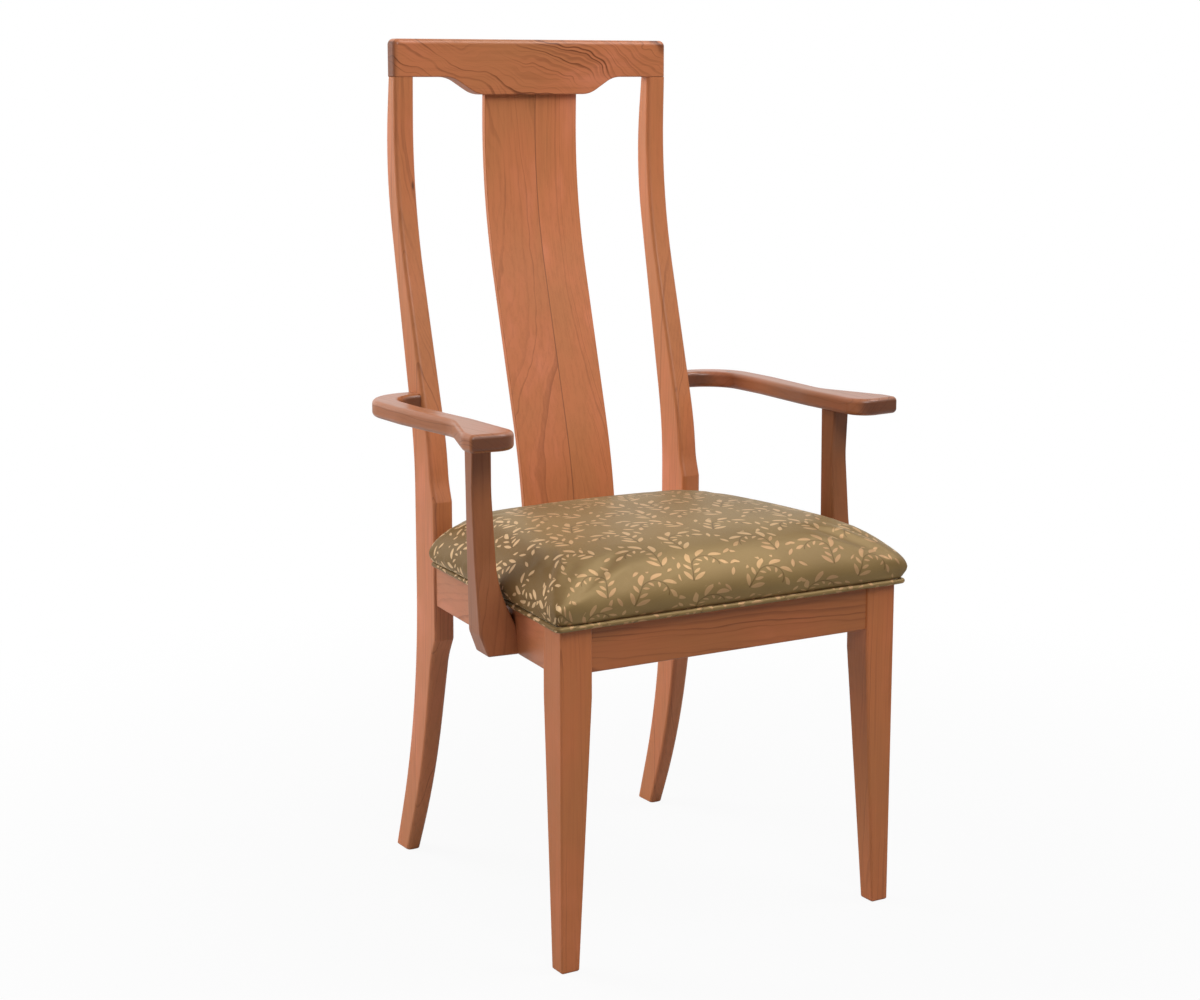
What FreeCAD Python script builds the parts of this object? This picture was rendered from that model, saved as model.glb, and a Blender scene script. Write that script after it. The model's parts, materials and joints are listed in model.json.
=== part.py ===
import FreeCAD, Part
import math
import os
import re

import Sketcher
from FreeCAD import Placement, Rotation, Vector

# Driving sizes in millimetres. X runs to the sitter's left hand as seen from the front, Y to the back, Z up.
SIZES = {
    # Seat frame: outer faces of the legs and posts, then the rails and their tenons
    "seat_width_front": 488,
    "seat_width_back": 416,
    "seat_depth": 392,
    "rail_bottom": 365,
    "rail_height": 56,
    "rail_thickness": 22,
    "rail_edge_radius": 2,
    "front_rail_recess": 3,
    "side_rail_recess": 2,
    "back_rail_recess": 1,
    "tenon_length": 18,
    "tenon_thickness": 10,
    "tenon_shoulder": 8,
    "tenon_wall": 2.5,
    "joint_clearance": 0.1,
    # Front legs, tapered on the two inner faces
    "leg_size": 43,
    "leg_foot_size": 25,
    "leg_taper_drop": 30,
    "leg_edge_radius": 3,
    # Back posts: sabre foot, seat block between two knees, curved upper part
    "post_thickness": 28.5,
    "post_block_depth": 59.5,
    "post_edge_radius": 6,
    "foot_depth": 38,
    "foot_taper": 9,
    "foot_taper_radius": 1500,
    "foot_rake": 73.5,
    "foot_bend_height": 216,
    "foot_bend_run": 165,
    "foot_front_bend_height": 115,
    "foot_front_bend_step": 46.5,
    "foot_front_run": 92,
    "foot_edge_radius": 2,
    "knee_height": 26,
    "knee_radius": 4,
    "knee_hollow_radius": 90,
    "lower_knee_drop": 47,
    "lower_knee_step": 13,
    "upper_knee_rise": 82,
    "upper_knee_step": 8.5,
    "back_height": 628,
    "back_bend_rise": 50,
    "back_bend_step": 5,
    "back_bend_run": 34,
    "back_rake": 87,
    "back_top_drop": 153,
    "back_top_run": 107,
    "back_return": 4.5,
    "rear_bend_rise": 145,
    "rear_bend_run": 51,
    "rear_rake": 72.9,
    "rear_top_drop": 116,
    "rear_top_run": 76,
    "rear_return": 13.9,
    # Crest rail on top of the posts
    "crest_height": 49,
    "crest_depth": 23,
    "crest_corner_radius": 8,
    "crest_edge_radius": 7,
    "crest_rear_radius": 4,
    "crest_lower_radius": 1.5,
    "scallop_drop": 23,
    "scallop_outer": 123,
    "scallop_inner": 86,
    "scallop_radius": 40,
    "crest_tenon_width": 16,
    "crest_tenon_thickness": 10,
    "crest_tenon_length": 22,
    # Back splat of two boards glued edge to edge
    "splat_width": 141,
    "splat_seam_offset": 6,
    "splat_thickness": 9,
    "splat_setback": 9.5,
    "splat_bend_rise": 99,
    "splat_bend_run": 74,
    "splat_edge_radius": 1.5,
    "splat_tenon_thickness": 6,
    "splat_tenon_length": 11,
    "splat_tenon_shoulder": 8,
    # Arms
    "arm_height": 200,
    "arm_thickness": 22,
    "arm_tail_width": 30,
    "arm_tail_setback": 6,
    "arm_back_reach": 48,
    "arm_back_width": 32,
    "arm_shoulder_radius": 66,
    "arm_crook_land": 3,
    "arm_front_reach": 2,
    "arm_waist_width": 31,
    "arm_waist_radius": 60,
    "arm_tip_width": 66,
    "arm_flare_radius": 30,
    "arm_bend_radius": 200,
    "arm_tip_setback": 81,
    "arm_tip_length": 31,
    "arm_flare_length": 93,
    "arm_bend_length": 125,
    "arm_tip_skew": 8,
    "arm_tip_radius": 5,
    "arm_inner_tip_radius": 28,
    "arm_edge_radius": 6,
    # Arm supports, set against the outer faces of the side rails
    "support_setback": 115,
    "support_inner": 22.5,
    "support_outer": 47.5,
    "support_half_depth": 13.5,
    "support_flare": 37,
    "support_front_sweep": 5,
    "support_rear_sweep": 5,
    "support_flare_height": 112,
    "support_flare_radius": 150,
    "support_waist": 3,
    "support_waist_drop": 60,
    "support_waist_radius": 160,
    "support_heel": 4,
    "support_heel_height": 105,
    "support_heel_radius": 150,
    "support_scoop_height": 35,
    "support_scoop_bend": 19,
    "support_scoop_bend_height": 82,
    "support_scoop_radius": 140,
    "support_toe": 38,
    "support_toe_height": 27,
    "support_toe_radius": 18,
    "support_edge_radius": 3,
    # Seat cushion on its board: outward reach from the frame's outline, and rise from one section to the next
    "seat_gap": 1,
    "seat_foot_inset": 1.6,
    "seat_overhang": 12,
    "seat_bulge_rise": 29,
    "seat_shoulder_inset": 2,
    "seat_shoulder_rise": 23,
    "seat_roll_inset": 25,
    "seat_roll_rise": 18,
    "seat_brow_inset": 62,
    "seat_brow_rise": 6,
    "seat_crown_inset": 115,
    "seat_crown_rise": 3,
    "seat_corner_radius": 20,
    "seat_crown_radius": 60,
    "cover_thickness": 2,
    "cover_gap": 0.3,
    "board_gap": 1,
    "board_thickness": 12,
    "dust_cover_thickness": 1,
    "dust_cover_inset": 14,
    "welt_diameter": 7,
    # Corner blocks, screws and dowels
    "block_gap_front": 24,
    "block_gap_back": 10,
    "block_foot": 44,
    "block_height": 28,
    "screw_diameter": 4,
    "screw_head_diameter": 8,
    "screw_head_height": 3,
    "screw_grip": 14,
    "screw_seat": 14,
    "seat_screw_share": 0.25,
    "seat_screw_grip": 9,
    "support_screw_grip": 22,
    "support_screw_spacing": 26,
    "hole_clearance": 0.1,
    "arm_dowel_diameter": 8,
    "arm_dowel_spacing": 16,
    "arm_dowel_in_post": 16,
    "arm_dowel_in_arm": 24,
    "support_dowel_diameter": 10,
    "support_dowel_in_support": 22,
    "support_dowel_in_arm": 14,
}

SIDES = {"left": -1, "right": 1}

doc = FreeCAD.newDocument("DiningArmchair")
sheet = doc.addObject("Spreadsheet::Sheet", "Sizes")
for row, (alias, size) in enumerate(SIZES.items(), 1):
    sheet.set(f"A{row}", alias)
    sheet.set(f"B{row}", str(size))
    sheet.setAlias(f"B{row}", alias)
doc.recompute()

subparts = []


# Formulas of size names

def formula(text):
    """Address each size name in a formula as its cell of the sheet."""
    return re.sub(r"[a-z]\w*", lambda name: f"Sizes.{name[0]}" if name[0] in SIZES else name[0], text)


def number(text):
    """Work a formula out."""
    found = sheet.evalExpression(formula(text))
    return found.Value if hasattr(found, "Value") else float(found)


# The origin is on the floor, midway between the front of the cushion and the heels of the back feet
FRONT = "(-(seat_depth + post_block_depth + foot_rake - seat_overhang) / 2)"
HALF_FRONT = "(seat_width_front / 2)"
HALF_BACK = "(seat_width_back / 2)"
RAIL_TOP = "(rail_bottom + rail_height)"
RAIL_MIDDLE = "(rail_bottom + rail_height / 2)"

# Back post: front face of the seat block, then the bends of the upper part
POST_Y = f"({FRONT} + seat_depth)"
POST_MIDDLE = f"({HALF_BACK} - post_thickness / 2)"
POST_INNER = f"({HALF_BACK} - post_thickness)"
BLOCK_REAR = f"({POST_Y} + post_block_depth)"
FOOT_REAR = f"({BLOCK_REAR} + foot_rake)"
POST_TOP = f"({RAIL_TOP} + back_height)"
KNEE_TOP = f"({RAIL_TOP} + upper_knee_rise + knee_height)"
BEND_Y = f"({POST_Y} + upper_knee_step + back_bend_step)"
BEND_Z = f"({KNEE_TOP} + back_bend_rise)"
TOP_BEND_Y = f"({BEND_Y} + back_rake)"
TOP_BEND_Z = f"({POST_TOP} - back_top_drop)"
TOP_FRONT = f"({TOP_BEND_Y} - back_return)"
TOP_REAR = f"({BLOCK_REAR} + rear_rake - rear_return)"
CREST_Y = f"(({TOP_FRONT} + {TOP_REAR}) / 2)"
SPLAT_TOP = f"({POST_TOP} - scallop_drop)"

# Side rail: its splay in plan, and its length along the outer face
SPLAY = "atan((seat_width_front - seat_width_back) / 2 / (seat_depth - leg_size))"
LEG_REAR = f"({FRONT} + leg_size)"
RAIL_LENGTH = f"((seat_depth - leg_size) / cos({SPLAY}))"
TENON_INNER = "(-(rail_thickness + tenon_thickness) / 2)"
TENON_OUTER = "(-(rail_thickness - tenon_thickness) / 2)"

# Arm: underside, mid height, and the place of its tail on the post
ARM_BOTTOM = f"({RAIL_TOP} + arm_height)"
ARM_MIDDLE = f"({ARM_BOTTOM} + arm_thickness / 2)"


def post_front_at(height):
    """Depth of the post's front face on its straight raked stretch."""
    return f"({BEND_Y} + ({height} - {BEND_Z}) * back_rake / ({TOP_BEND_Z} - {BEND_Z}))"


ARM_TAIL_Y = f"({post_front_at(ARM_MIDDLE)} + arm_tail_setback)"

# Splat: depth of its front face at the foot, at both bends and at the head
SPLAT_BEND_Z = f"({RAIL_TOP} + splat_bend_rise)"
SPLAT_BEND_Y = f"({post_front_at(SPLAT_BEND_Z)} + splat_setback)"
SPLAT_FOOT_Y = f"({POST_Y} - seat_gap)"
SPLAT_TOP_BEND_Y = f"({TOP_BEND_Y} + splat_setback)"
SPLAT_HEAD_Y = f"({SPLAT_TOP_BEND_Y} - back_return * (back_top_drop - scallop_drop) / back_top_drop)"


def rail_plan(across, along):
    """Plan of a point of the right side rail: across outward from its outer face, along to the back."""
    corner = f"({HALF_FRONT} - side_rail_recess)"
    x = f"({corner} + ({across}) * cos({SPLAY}) - ({along}) * sin({SPLAY}))"
    y = f"({LEG_REAR} + ({across}) * sin({SPLAY}) + ({along}) * cos({SPLAY}))"
    return x, y


# Sketches and features

def new_body(label):
    body = doc.addObject("PartDesign::Body", label)
    body.Label = label
    subparts.append(body)
    return body


def new_sketch(body, name, plane, offset="0"):
    """A sketch on one of the body's own planes, moved along its normal."""
    sketch = body.newObject("Sketcher::SketchObject", name)
    support = [feature for feature in body.Origin.OriginFeatures if feature.Role == plane]
    sketch.AttachmentSupport = [(support[0], "")]
    sketch.MapMode = "FlatFace"
    sketch.setExpression("AttachmentOffset.Base.z", formula(offset))
    return sketch


def outline(sketch, corners):
    """A closed outline of straight lines between corners (u, v, bend), with an arc where there is a bend.

    A bend is the arc's radius, or, where its size is called a run, the length of its tangents to the corner.
    """
    count = len(corners)
    spots = [Vector(number(u), number(v), 0) for u, v, bend in corners]
    arrive, leave, arcs = list(spots), list(spots), {}
    for index, (u, v, bend) in enumerate(corners):
        if bend is None:
            continue
        here = spots[index]
        back = (spots[index - 1] - here).normalize()
        ahead = (spots[(index + 1) % count] - here).normalize()
        half = back.getAngle(ahead) / 2
        run = number(bend) if bend.endswith("_run") else number(bend) / math.tan(half)
        radius = run * math.tan(half)
        arrive[index] = here + back * run
        leave[index] = here + ahead * run
        centre = here + (back + ahead).normalize() * (radius / math.sin(half))
        ends = (arrive[index], leave[index])
        turns_left = back.cross(ahead).z < 0
        first, last = ends if turns_left else ends[::-1]
        angles = [math.atan2(end.y - centre.y, end.x - centre.x) for end in (first, last)]
        circle = Part.Circle(centre, Vector(0, 0, 1), radius)
        arcs[index] = (Part.ArcOfCircle(circle, *angles), (1, 2) if turns_left else (2, 1))
    for index in range(count):
        sketch.addGeometry(Part.LineSegment(leave[index], arrive[(index + 1) % count]))
    rules, bound = [], []

    def measure(kind, *where, size):
        bound.append((len(rules), size))
        rules.append(Sketcher.Constraint(kind, *where, number(size)))

    for index, (u, v, bend) in enumerate(corners):
        before = (index - 1) % count
        if bend is None:
            rules.append(Sketcher.Constraint("Coincident", before, 2, index, 1))
            point = (index, 1)
        else:
            shape, (entry, leaving) = arcs[index]
            arc = sketch.addGeometry(shape)
            point = (sketch.addGeometry(Part.Point(spots[index]), True), 1)
            rules.append(Sketcher.Constraint("Tangent", before, 2, arc, entry))
            rules.append(Sketcher.Constraint("Tangent", arc, leaving, index, 1))
            rules.append(Sketcher.Constraint("PointOnObject", *point, before))
            rules.append(Sketcher.Constraint("PointOnObject", *point, index))
            if bend.endswith("_run"):
                measure("Distance", *point, arc, entry, size=bend)
            else:
                measure("Radius", arc, size=bend)
        measure("DistanceX", -1, 1, *point, size=u)
        measure("DistanceY", -1, 1, *point, size=v)
    sketch.addConstraint(rules)
    for place, size in bound:
        sketch.setExpression(f"Constraints[{place}]", formula(size))


def mirrored(side, corners):
    """The corners of a right-hand outline on the given side."""
    return [(f"{side} * ({u})", v, radius) for u, v, radius in corners]


def pad(body, name, plane, corners, offset, length, symmetric=False):
    sketch = new_sketch(body, f"{name}_outline", plane, offset)
    outline(sketch, corners)
    feature = body.newObject("PartDesign::Pad", name)
    feature.Profile = sketch
    feature.setExpression("Length", formula(length))
    if symmetric:
        feature.SideType = "Symmetric"
    return feature


def pocket(body, name, plane, corners, length):
    """A cut of the given length, half of it on each side of the plane."""
    sketch = new_sketch(body, f"{name}_outline", plane)
    outline(sketch, corners)
    feature = body.newObject("PartDesign::Pocket", name)
    feature.Profile = sketch
    feature.setExpression("Length", formula(length))
    feature.SideType = "Symmetric"
    return feature


def box(body, kind, name, side, low, high, turned=False):
    """Add or cut a block between two corners of the right-hand piece; turned ones follow the side rail."""
    feature = body.newObject(f"PartDesign::{kind}Box", name)
    x = low[0] if side > 0 else high[0]
    y = low[1]
    if turned:
        x, y = rail_plan(x, y)
        feature.Placement = Placement(Vector(), Rotation(Vector(0, 0, side), 1))
        feature.setExpression("Placement.Rotation.Angle", formula(SPLAY))
    for length, start, end in zip(("Length", "Width", "Height"), low, high):
        feature.setExpression(length, formula(f"({end}) - ({start})"))
    for axis, place in zip("xyz", (f"{side} * ({x})", y, low[2])):
        feature.setExpression(f"Placement.Base.{axis}", formula(place))
    return feature


# Plane of a hole's mouth, how its axes follow X, Y and Z, and whether the cut runs backwards along its normal
HOLE_PLANES = {
    "+x": ("YZ_Plane", True), "-x": ("YZ_Plane", False),
    "+y": ("XZ_Plane", False), "-y": ("XZ_Plane", True),
    "+z": ("XY_Plane", True), "-z": ("XY_Plane", False),
}


def hole(body, name, heading, mouth, diameter, depth, turn=None):
    """A round hole from its mouth along a heading, turned about the vertical where a turn is given."""
    plane, forward = HOLE_PLANES[heading]
    x, y, z = mouth
    sketch = new_sketch(body, f"{name}_mouth", plane)
    if turn is not None:
        sketch.AttachmentOffset = Placement(Vector(), Rotation(Vector(0, turn, 0), 1))
        sketch.setExpression("AttachmentOffset.Rotation.Angle", formula(SPLAY))
    place = {"YZ_Plane": (y, z, x), "XZ_Plane": (x, z, f"-({y})"), "XY_Plane": (x, y, z)}[plane]
    for axis, value in zip("xyz", place):
        sketch.setExpression(f"AttachmentOffset.Base.{axis}", formula(value))
    sketch.addGeometry(Part.Circle(Vector(), Vector(0, 0, 1), number(diameter) / 2))
    sketch.addConstraint(Sketcher.Constraint("Coincident", 0, 3, -1, 1))
    size = sketch.addConstraint(Sketcher.Constraint("Diameter", 0, number(diameter)))
    sketch.setExpression(f"Constraints[{size}]", formula(diameter))
    feature = body.newObject("PartDesign::Pocket", name)
    feature.Profile = sketch
    feature.setExpression("Length", formula(depth))
    feature.Reversed = forward
    return feature


def ease(body, name, radius, wanted):
    """Round the edges that the test picks."""
    doc.recompute()
    base = body.Tip
    edges = [f"Edge{place}" for place, edge in enumerate(base.Shape.Edges, 1) if wanted(edge)]
    fillet = body.newObject("PartDesign::Fillet", name)
    fillet.Base = (base, edges)
    fillet.setExpression("Radius", formula(radius))
    return fillet


def lies_on(edge, axis, places):
    """Whether an edge lies in one of the planes across an axis."""
    low, high = getattr(edge.BoundBox, f"{axis}Min"), getattr(edge.BoundBox, f"{axis}Max")
    return any(abs(low - place) < 1e-4 and abs(high - place) < 1e-4 for place in places)


SCREW_HOLE = "screw_diameter + 2 * hole_clearance"
SCREW_HEAD_HOLE = "screw_head_diameter + 2 * hole_clearance"
ARM_DOWEL_HOLE = "arm_dowel_diameter + 2 * hole_clearance"
SUPPORT_DOWEL_HOLE = "support_dowel_diameter + 2 * hole_clearance"
FIT = "joint_clearance"


def grown(low, high):
    """The mortise round a tenon, with the joint's clearance on every face."""
    return [f"({place}) - {FIT}" for place in low], [f"({place}) + {FIT}" for place in high]


# Corners of the tenons, for the right-hand side
TENON_Z = ("rail_bottom + tenon_shoulder", f"{RAIL_TOP} - tenon_shoulder")
FRONT_TENON_Y = f"({FRONT} + front_rail_recess + (rail_thickness - tenon_thickness) / 2)"
FRONT_TENON = (
    (f"{HALF_FRONT} - leg_size", FRONT_TENON_Y, TENON_Z[0]),
    (f"{HALF_FRONT} - leg_size + tenon_length", f"{FRONT_TENON_Y} + tenon_thickness", TENON_Z[1]),
)
BACK_TENON_Y = f"({POST_Y} + back_rail_recess + (rail_thickness - tenon_thickness) / 2)"
BACK_TENON_REACH = "(post_thickness - side_rail_recess - (rail_thickness + tenon_thickness) / 2 - tenon_wall)"
BACK_TENON = (
    (POST_INNER, BACK_TENON_Y, TENON_Z[0]),
    (f"{POST_INNER} + {BACK_TENON_REACH}", f"{BACK_TENON_Y} + tenon_thickness", TENON_Z[1]),
)
SIDE_FRONT_TENON = ((TENON_INNER, "-tenon_length", TENON_Z[0]), (TENON_OUTER, "rail_thickness", TENON_Z[1]))
SIDE_BACK_TENON = (
    (TENON_INNER, f"{RAIL_LENGTH} - rail_thickness", TENON_Z[0]),
    (TENON_OUTER, f"{RAIL_LENGTH} + tenon_length", TENON_Z[1]),
)
CREST_TENON = (
    (f"{POST_MIDDLE} - crest_tenon_width / 2", f"{CREST_Y} - crest_tenon_thickness / 2", POST_TOP),
    (f"{POST_MIDDLE} + crest_tenon_width / 2", f"{CREST_Y} + crest_tenon_thickness / 2",
     f"{POST_TOP} + crest_tenon_length"),
)

# Places of the arm dowels along the tail, of the screws up the side rail and of those in the corner blocks
ARM_DOWEL_YS = [f"({ARM_TAIL_Y} + arm_tail_width / 2 {sign} arm_dowel_spacing / 2)" for sign in "+-"]
SUPPORT_SCREW_ZS = [f"({RAIL_MIDDLE} {sign} support_screw_spacing / 2)" for sign in "+-"]
SUPPORT_DOWEL_X = "((support_inner + support_outer) / 2)"
BLOCK_MIDDLE = f"({RAIL_TOP} - block_height / 2)"
BLOCK_SCREW_ALONG = {
    "front": "block_gap_front + block_foot / 2",
    "back": f"{RAIL_LENGTH} - block_gap_back - block_foot / 2",
}


# Frame pieces

def back_post(label, side):
    body = new_body(label)
    corners = [
        (f"{FOOT_REAR} - foot_depth", "0", None),
        (f"{POST_Y} + foot_front_bend_step", "foot_front_bend_height", "foot_front_run"),
        (f"{POST_Y} + lower_knee_step", "rail_bottom - lower_knee_drop - knee_height", "knee_hollow_radius"),
        (POST_Y, "rail_bottom - lower_knee_drop", "knee_radius"),
        (POST_Y, f"{RAIL_TOP} + upper_knee_rise", "knee_radius"),
        (f"{POST_Y} + upper_knee_step", KNEE_TOP, "knee_hollow_radius"),
        (BEND_Y, BEND_Z, "back_bend_run"),
        (TOP_BEND_Y, TOP_BEND_Z, "back_top_run"),
        (TOP_FRONT, POST_TOP, None),
        (TOP_REAR, POST_TOP, None),
        (f"{BLOCK_REAR} + rear_rake", f"{POST_TOP} - rear_top_drop", "rear_top_run"),
        (BLOCK_REAR, f"{RAIL_TOP} + rear_bend_rise", "rear_bend_run"),
        (BLOCK_REAR, "foot_bend_height", "foot_bend_run"),
        (FOOT_REAR, "0", None),
    ]
    pad(body, "blank", "YZ_Plane", corners, f"{side} * ({POST_MIDDLE} - foot_taper / 2)",
        "post_thickness + foot_taper", symmetric=True)
    waste_edge = f"{POST_INNER} - 2 * foot_taper"
    inner_waste = [
        (waste_edge, "0", None), (f"{POST_INNER} + foot_taper", "0", None),
        (POST_INNER, "rail_bottom - lower_knee_drop", "foot_taper_radius"),
        (POST_INNER, POST_TOP, None), (waste_edge, POST_TOP, None),
    ]
    pocket(body, "inner_face", "XZ_Plane", mirrored(side, inner_waste), f"2 * ({FOOT_REAR} + foot_depth)")
    across = number("post_thickness / 2")
    ease(body, "long_edges", "post_edge_radius",
         lambda edge: edge.BoundBox.XLength < across and edge.BoundBox.ZLength > 1)
    ease(body, "foot_edges", "foot_edge_radius", lambda edge: lies_on(edge, "Z", (0,)))
    box(body, "Additive", "crest_tenon", side, *CREST_TENON)
    box(body, "Subtractive", "side_mortise", side, *grown(*SIDE_BACK_TENON), turned=True)
    box(body, "Subtractive", "back_mortise", side, *grown(*BACK_TENON))
    for y in ARM_DOWEL_YS:
        hole(body, "arm_dowel_hole", "-x" if side > 0 else "+x", (f"{side} * {HALF_BACK}", y, ARM_MIDDLE),
             ARM_DOWEL_HOLE, f"arm_dowel_in_post + {FIT}")


def front_leg(label, side):
    body = new_body(label)
    taper_top = "(rail_bottom - leg_taper_drop)"

    def square(size):
        inner, outer = f"{HALF_FRONT} - {size}", HALF_FRONT
        rear = f"{FRONT} + {size}"
        corners = [(inner, FRONT, None), (outer, FRONT, None), (outer, rear, None), (inner, rear, None)]
        return mirrored(side, corners)

    top = pad(body, "upper", "XY_Plane", square("leg_size"), taper_top, f"{RAIL_TOP} - {taper_top}")
    foot = new_sketch(body, "foot_outline", "XY_Plane")
    outline(foot, square("leg_foot_size"))
    taper = body.newObject("PartDesign::AdditiveLoft", "taper")
    taper.Profile = top.Profile
    taper.Sections = [foot]
    ease(body, "edges", "leg_edge_radius",
         lambda edge: not lies_on(edge, "Z", (number(RAIL_TOP), number(taper_top))))
    box(body, "Subtractive", "front_mortise", side, *grown(*FRONT_TENON))
    box(body, "Subtractive", "side_mortise", side, *grown(*SIDE_FRONT_TENON), turned=True)


def cross_rail(label, half_length, front, tenon):
    """A rail across the chair, between the legs or the posts, with a tenon at each end."""
    body = new_body(label)
    corners = [
        (f"-({half_length})", "rail_bottom", None), (half_length, "rail_bottom", None),
        (half_length, RAIL_TOP, None), (f"-({half_length})", RAIL_TOP, None),
    ]
    middle = f"-({front} + rail_thickness / 2)"
    pad(body, "rail", "XZ_Plane", corners, middle, "rail_thickness", symmetric=True)
    ease(body, "lower_edges", "rail_edge_radius",
         lambda edge: lies_on(edge, "Z", (number("rail_bottom"),)) and edge.BoundBox.XLength > 1)
    for side in SIDES.values():
        box(body, "Additive", "tenon", side, *tenon)
    return body


def front_rail():
    face = f"{FRONT} + front_rail_recess"
    body = cross_rail("front_seat_rail", f"{HALF_FRONT} - leg_size", face, FRONT_TENON)
    for side in SIDES.values():
        x = f"{side} * ({HALF_FRONT} - leg_size - block_gap_front - block_foot / 2)"
        mouth = (x, f"{face} + rail_thickness", BLOCK_MIDDLE)
        hole(body, "block_screw_hole", "-y", mouth, SCREW_HOLE, f"screw_grip + {FIT}")


def splat_half(side):
    """Low and high edge of the splat board on one side, measured from the middle of the chair."""
    edges = ("splat_seam_offset", f"{side} * splat_width / 2")
    return edges if side > 0 else edges[::-1]


def splat_tenons(side):
    """Low and high corners of the foot and head tenons of a splat board."""
    low, high = splat_half(side)
    if side > 0:
        high = f"{high} - splat_tenon_shoulder"
    else:
        low = f"{low} + splat_tenon_shoulder"
    foot_y = f"({SPLAT_FOOT_Y} + (splat_thickness - splat_tenon_thickness) / 2)"
    head_y = f"({SPLAT_HEAD_Y} + (splat_thickness - splat_tenon_thickness) / 2)"
    foot = (
        (low, foot_y, f"{RAIL_TOP} - splat_tenon_length"),
        (high, f"{foot_y} + splat_tenon_thickness", f"{RAIL_TOP} + splat_thickness"),
    )
    head = (
        (low, head_y, f"{SPLAT_TOP} - splat_thickness"),
        (high, f"{head_y} + splat_tenon_thickness", f"{SPLAT_TOP} + splat_tenon_length"),
    )
    return foot, head


def back_rail():
    body = cross_rail("back_seat_rail", POST_INNER, f"{POST_Y} + back_rail_recess", BACK_TENON)
    for side in SIDES.values():
        foot, head = splat_tenons(side)
        box(body, "Subtractive", "splat_mortise", 1, *grown(*foot))
        x = f"{side} * ({POST_INNER} - block_gap_back - block_foot / 2)"
        hole(body, "block_screw_hole", "+y", (x, f"{POST_Y} + back_rail_recess", BLOCK_MIDDLE),
             SCREW_HOLE, f"screw_grip + {FIT}")


def side_rail(label, side):
    """A splayed rail, drawn along its own length and then turned into place."""
    body = new_body(label)
    skew = f"rail_thickness * tan({SPLAY})"
    corners = [
        ("0", "0", None), ("0", RAIL_LENGTH, None),
        ("-rail_thickness", f"{RAIL_LENGTH} + {skew}", None), ("-rail_thickness", skew, None),
    ]
    pad(body, "rail", "XY_Plane", mirrored(side, corners), "rail_bottom", "rail_height")
    level = (number("rail_bottom"),)
    ease(body, "lower_edges", "rail_edge_radius",
         lambda edge: lies_on(edge, "Z", level) and edge.BoundBox.YLength > edge.BoundBox.XLength)
    for tenon in (SIDE_FRONT_TENON, SIDE_BACK_TENON):
        box(body, "Additive", "tenon", side, *tenon)
    outward = "+x" if side > 0 else "-x"
    inner_face = f"{-side} * rail_thickness"
    for along in BLOCK_SCREW_ALONG.values():
        hole(body, "block_screw_hole", outward, (inner_face, along, BLOCK_MIDDLE),
             SCREW_HOLE, f"screw_grip + {FIT}")
    for z in SUPPORT_SCREW_ZS:
        mouth = (inner_face, "support_setback", z)
        hole(body, "support_screw_hole", outward, mouth, SCREW_HOLE, "rail_thickness")
        hole(body, "support_screw_head", outward, mouth, SCREW_HEAD_HOLE, "screw_head_height")
    turn_with_rail(body, side, "0", "0")


def turn_with_rail(body, side, across, along):
    """Set a piece that was drawn square against the splayed side rail."""
    x, y = rail_plan(across, along)
    body.Placement = Placement(Vector(), Rotation(Vector(0, 0, side), 1))
    body.setExpression("Placement.Rotation.Angle", formula(SPLAY))
    body.setExpression("Placement.Base.x", formula(f"{side} * {x}"))
    body.setExpression("Placement.Base.y", formula(y))


# Back: crest and splat

def crest_rail():
    body = new_body("crest_rail")
    crest_top = f"{POST_TOP} + crest_height"
    corners = [
        (f"-{HALF_BACK}", POST_TOP, None),
        ("-scallop_outer", POST_TOP, "scallop_radius"),
        ("-scallop_inner", SPLAT_TOP, "scallop_radius"),
        ("scallop_inner", SPLAT_TOP, "scallop_radius"),
        ("scallop_outer", POST_TOP, "scallop_radius"),
        (HALF_BACK, POST_TOP, None),
        (HALF_BACK, crest_top, "crest_corner_radius"),
        (f"-{HALF_BACK}", crest_top, "crest_corner_radius"),
    ]
    pad(body, "crest", "XZ_Plane", corners, f"-{CREST_Y}", "crest_depth", symmetric=True)
    faces = {sign: (number(f"{CREST_Y} {sign} crest_depth / 2"),) for sign in "-+"}
    shoulder = number(f"{POST_TOP} + crest_height / 4")
    for name, sign, radius in (("front", "-", "crest_edge_radius"), ("rear", "+", "crest_rear_radius")):
        ease(body, f"{name}_edges", radius,
             lambda edge: lies_on(edge, "Y", faces[sign]) and edge.BoundBox.ZMax > shoulder)
    ease(body, "lower_edges", "crest_lower_radius",
         lambda edge: lies_on(edge, "Y", faces["-"] + faces["+"]) and edge.BoundBox.ZMax < shoulder)
    for side in SIDES.values():
        box(body, "Subtractive", "post_mortise", side, *grown(*CREST_TENON))
        foot, head = splat_tenons(side)
        box(body, "Subtractive", "splat_mortise", 1, *grown(*head))


def splat_board(label, side):
    body = new_body(label)
    low, high = splat_half(side)
    front = [(SPLAT_FOOT_Y, RAIL_TOP, None), (SPLAT_BEND_Y, SPLAT_BEND_Z, "splat_bend_run"),
             (SPLAT_TOP_BEND_Y, TOP_BEND_Z, "back_top_run"), (SPLAT_HEAD_Y, SPLAT_TOP, None)]
    rear = [(f"{y} + splat_thickness", z, radius) for y, z, radius in reversed(front)]
    pad(body, "board", "YZ_Plane", front + rear, low, f"({high}) - ({low})")
    outer = number(high if side > 0 else low)
    ends = (number(RAIL_TOP), number(SPLAT_TOP))
    ease(body, "outer_edges", "splat_edge_radius",
         lambda edge: lies_on(edge, "X", (outer,)) and not lies_on(edge, "Z", ends))
    for tenon in splat_tenons(side):
        box(body, "Additive", "tenon", 1, *tenon)


# Arms and their supports

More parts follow.
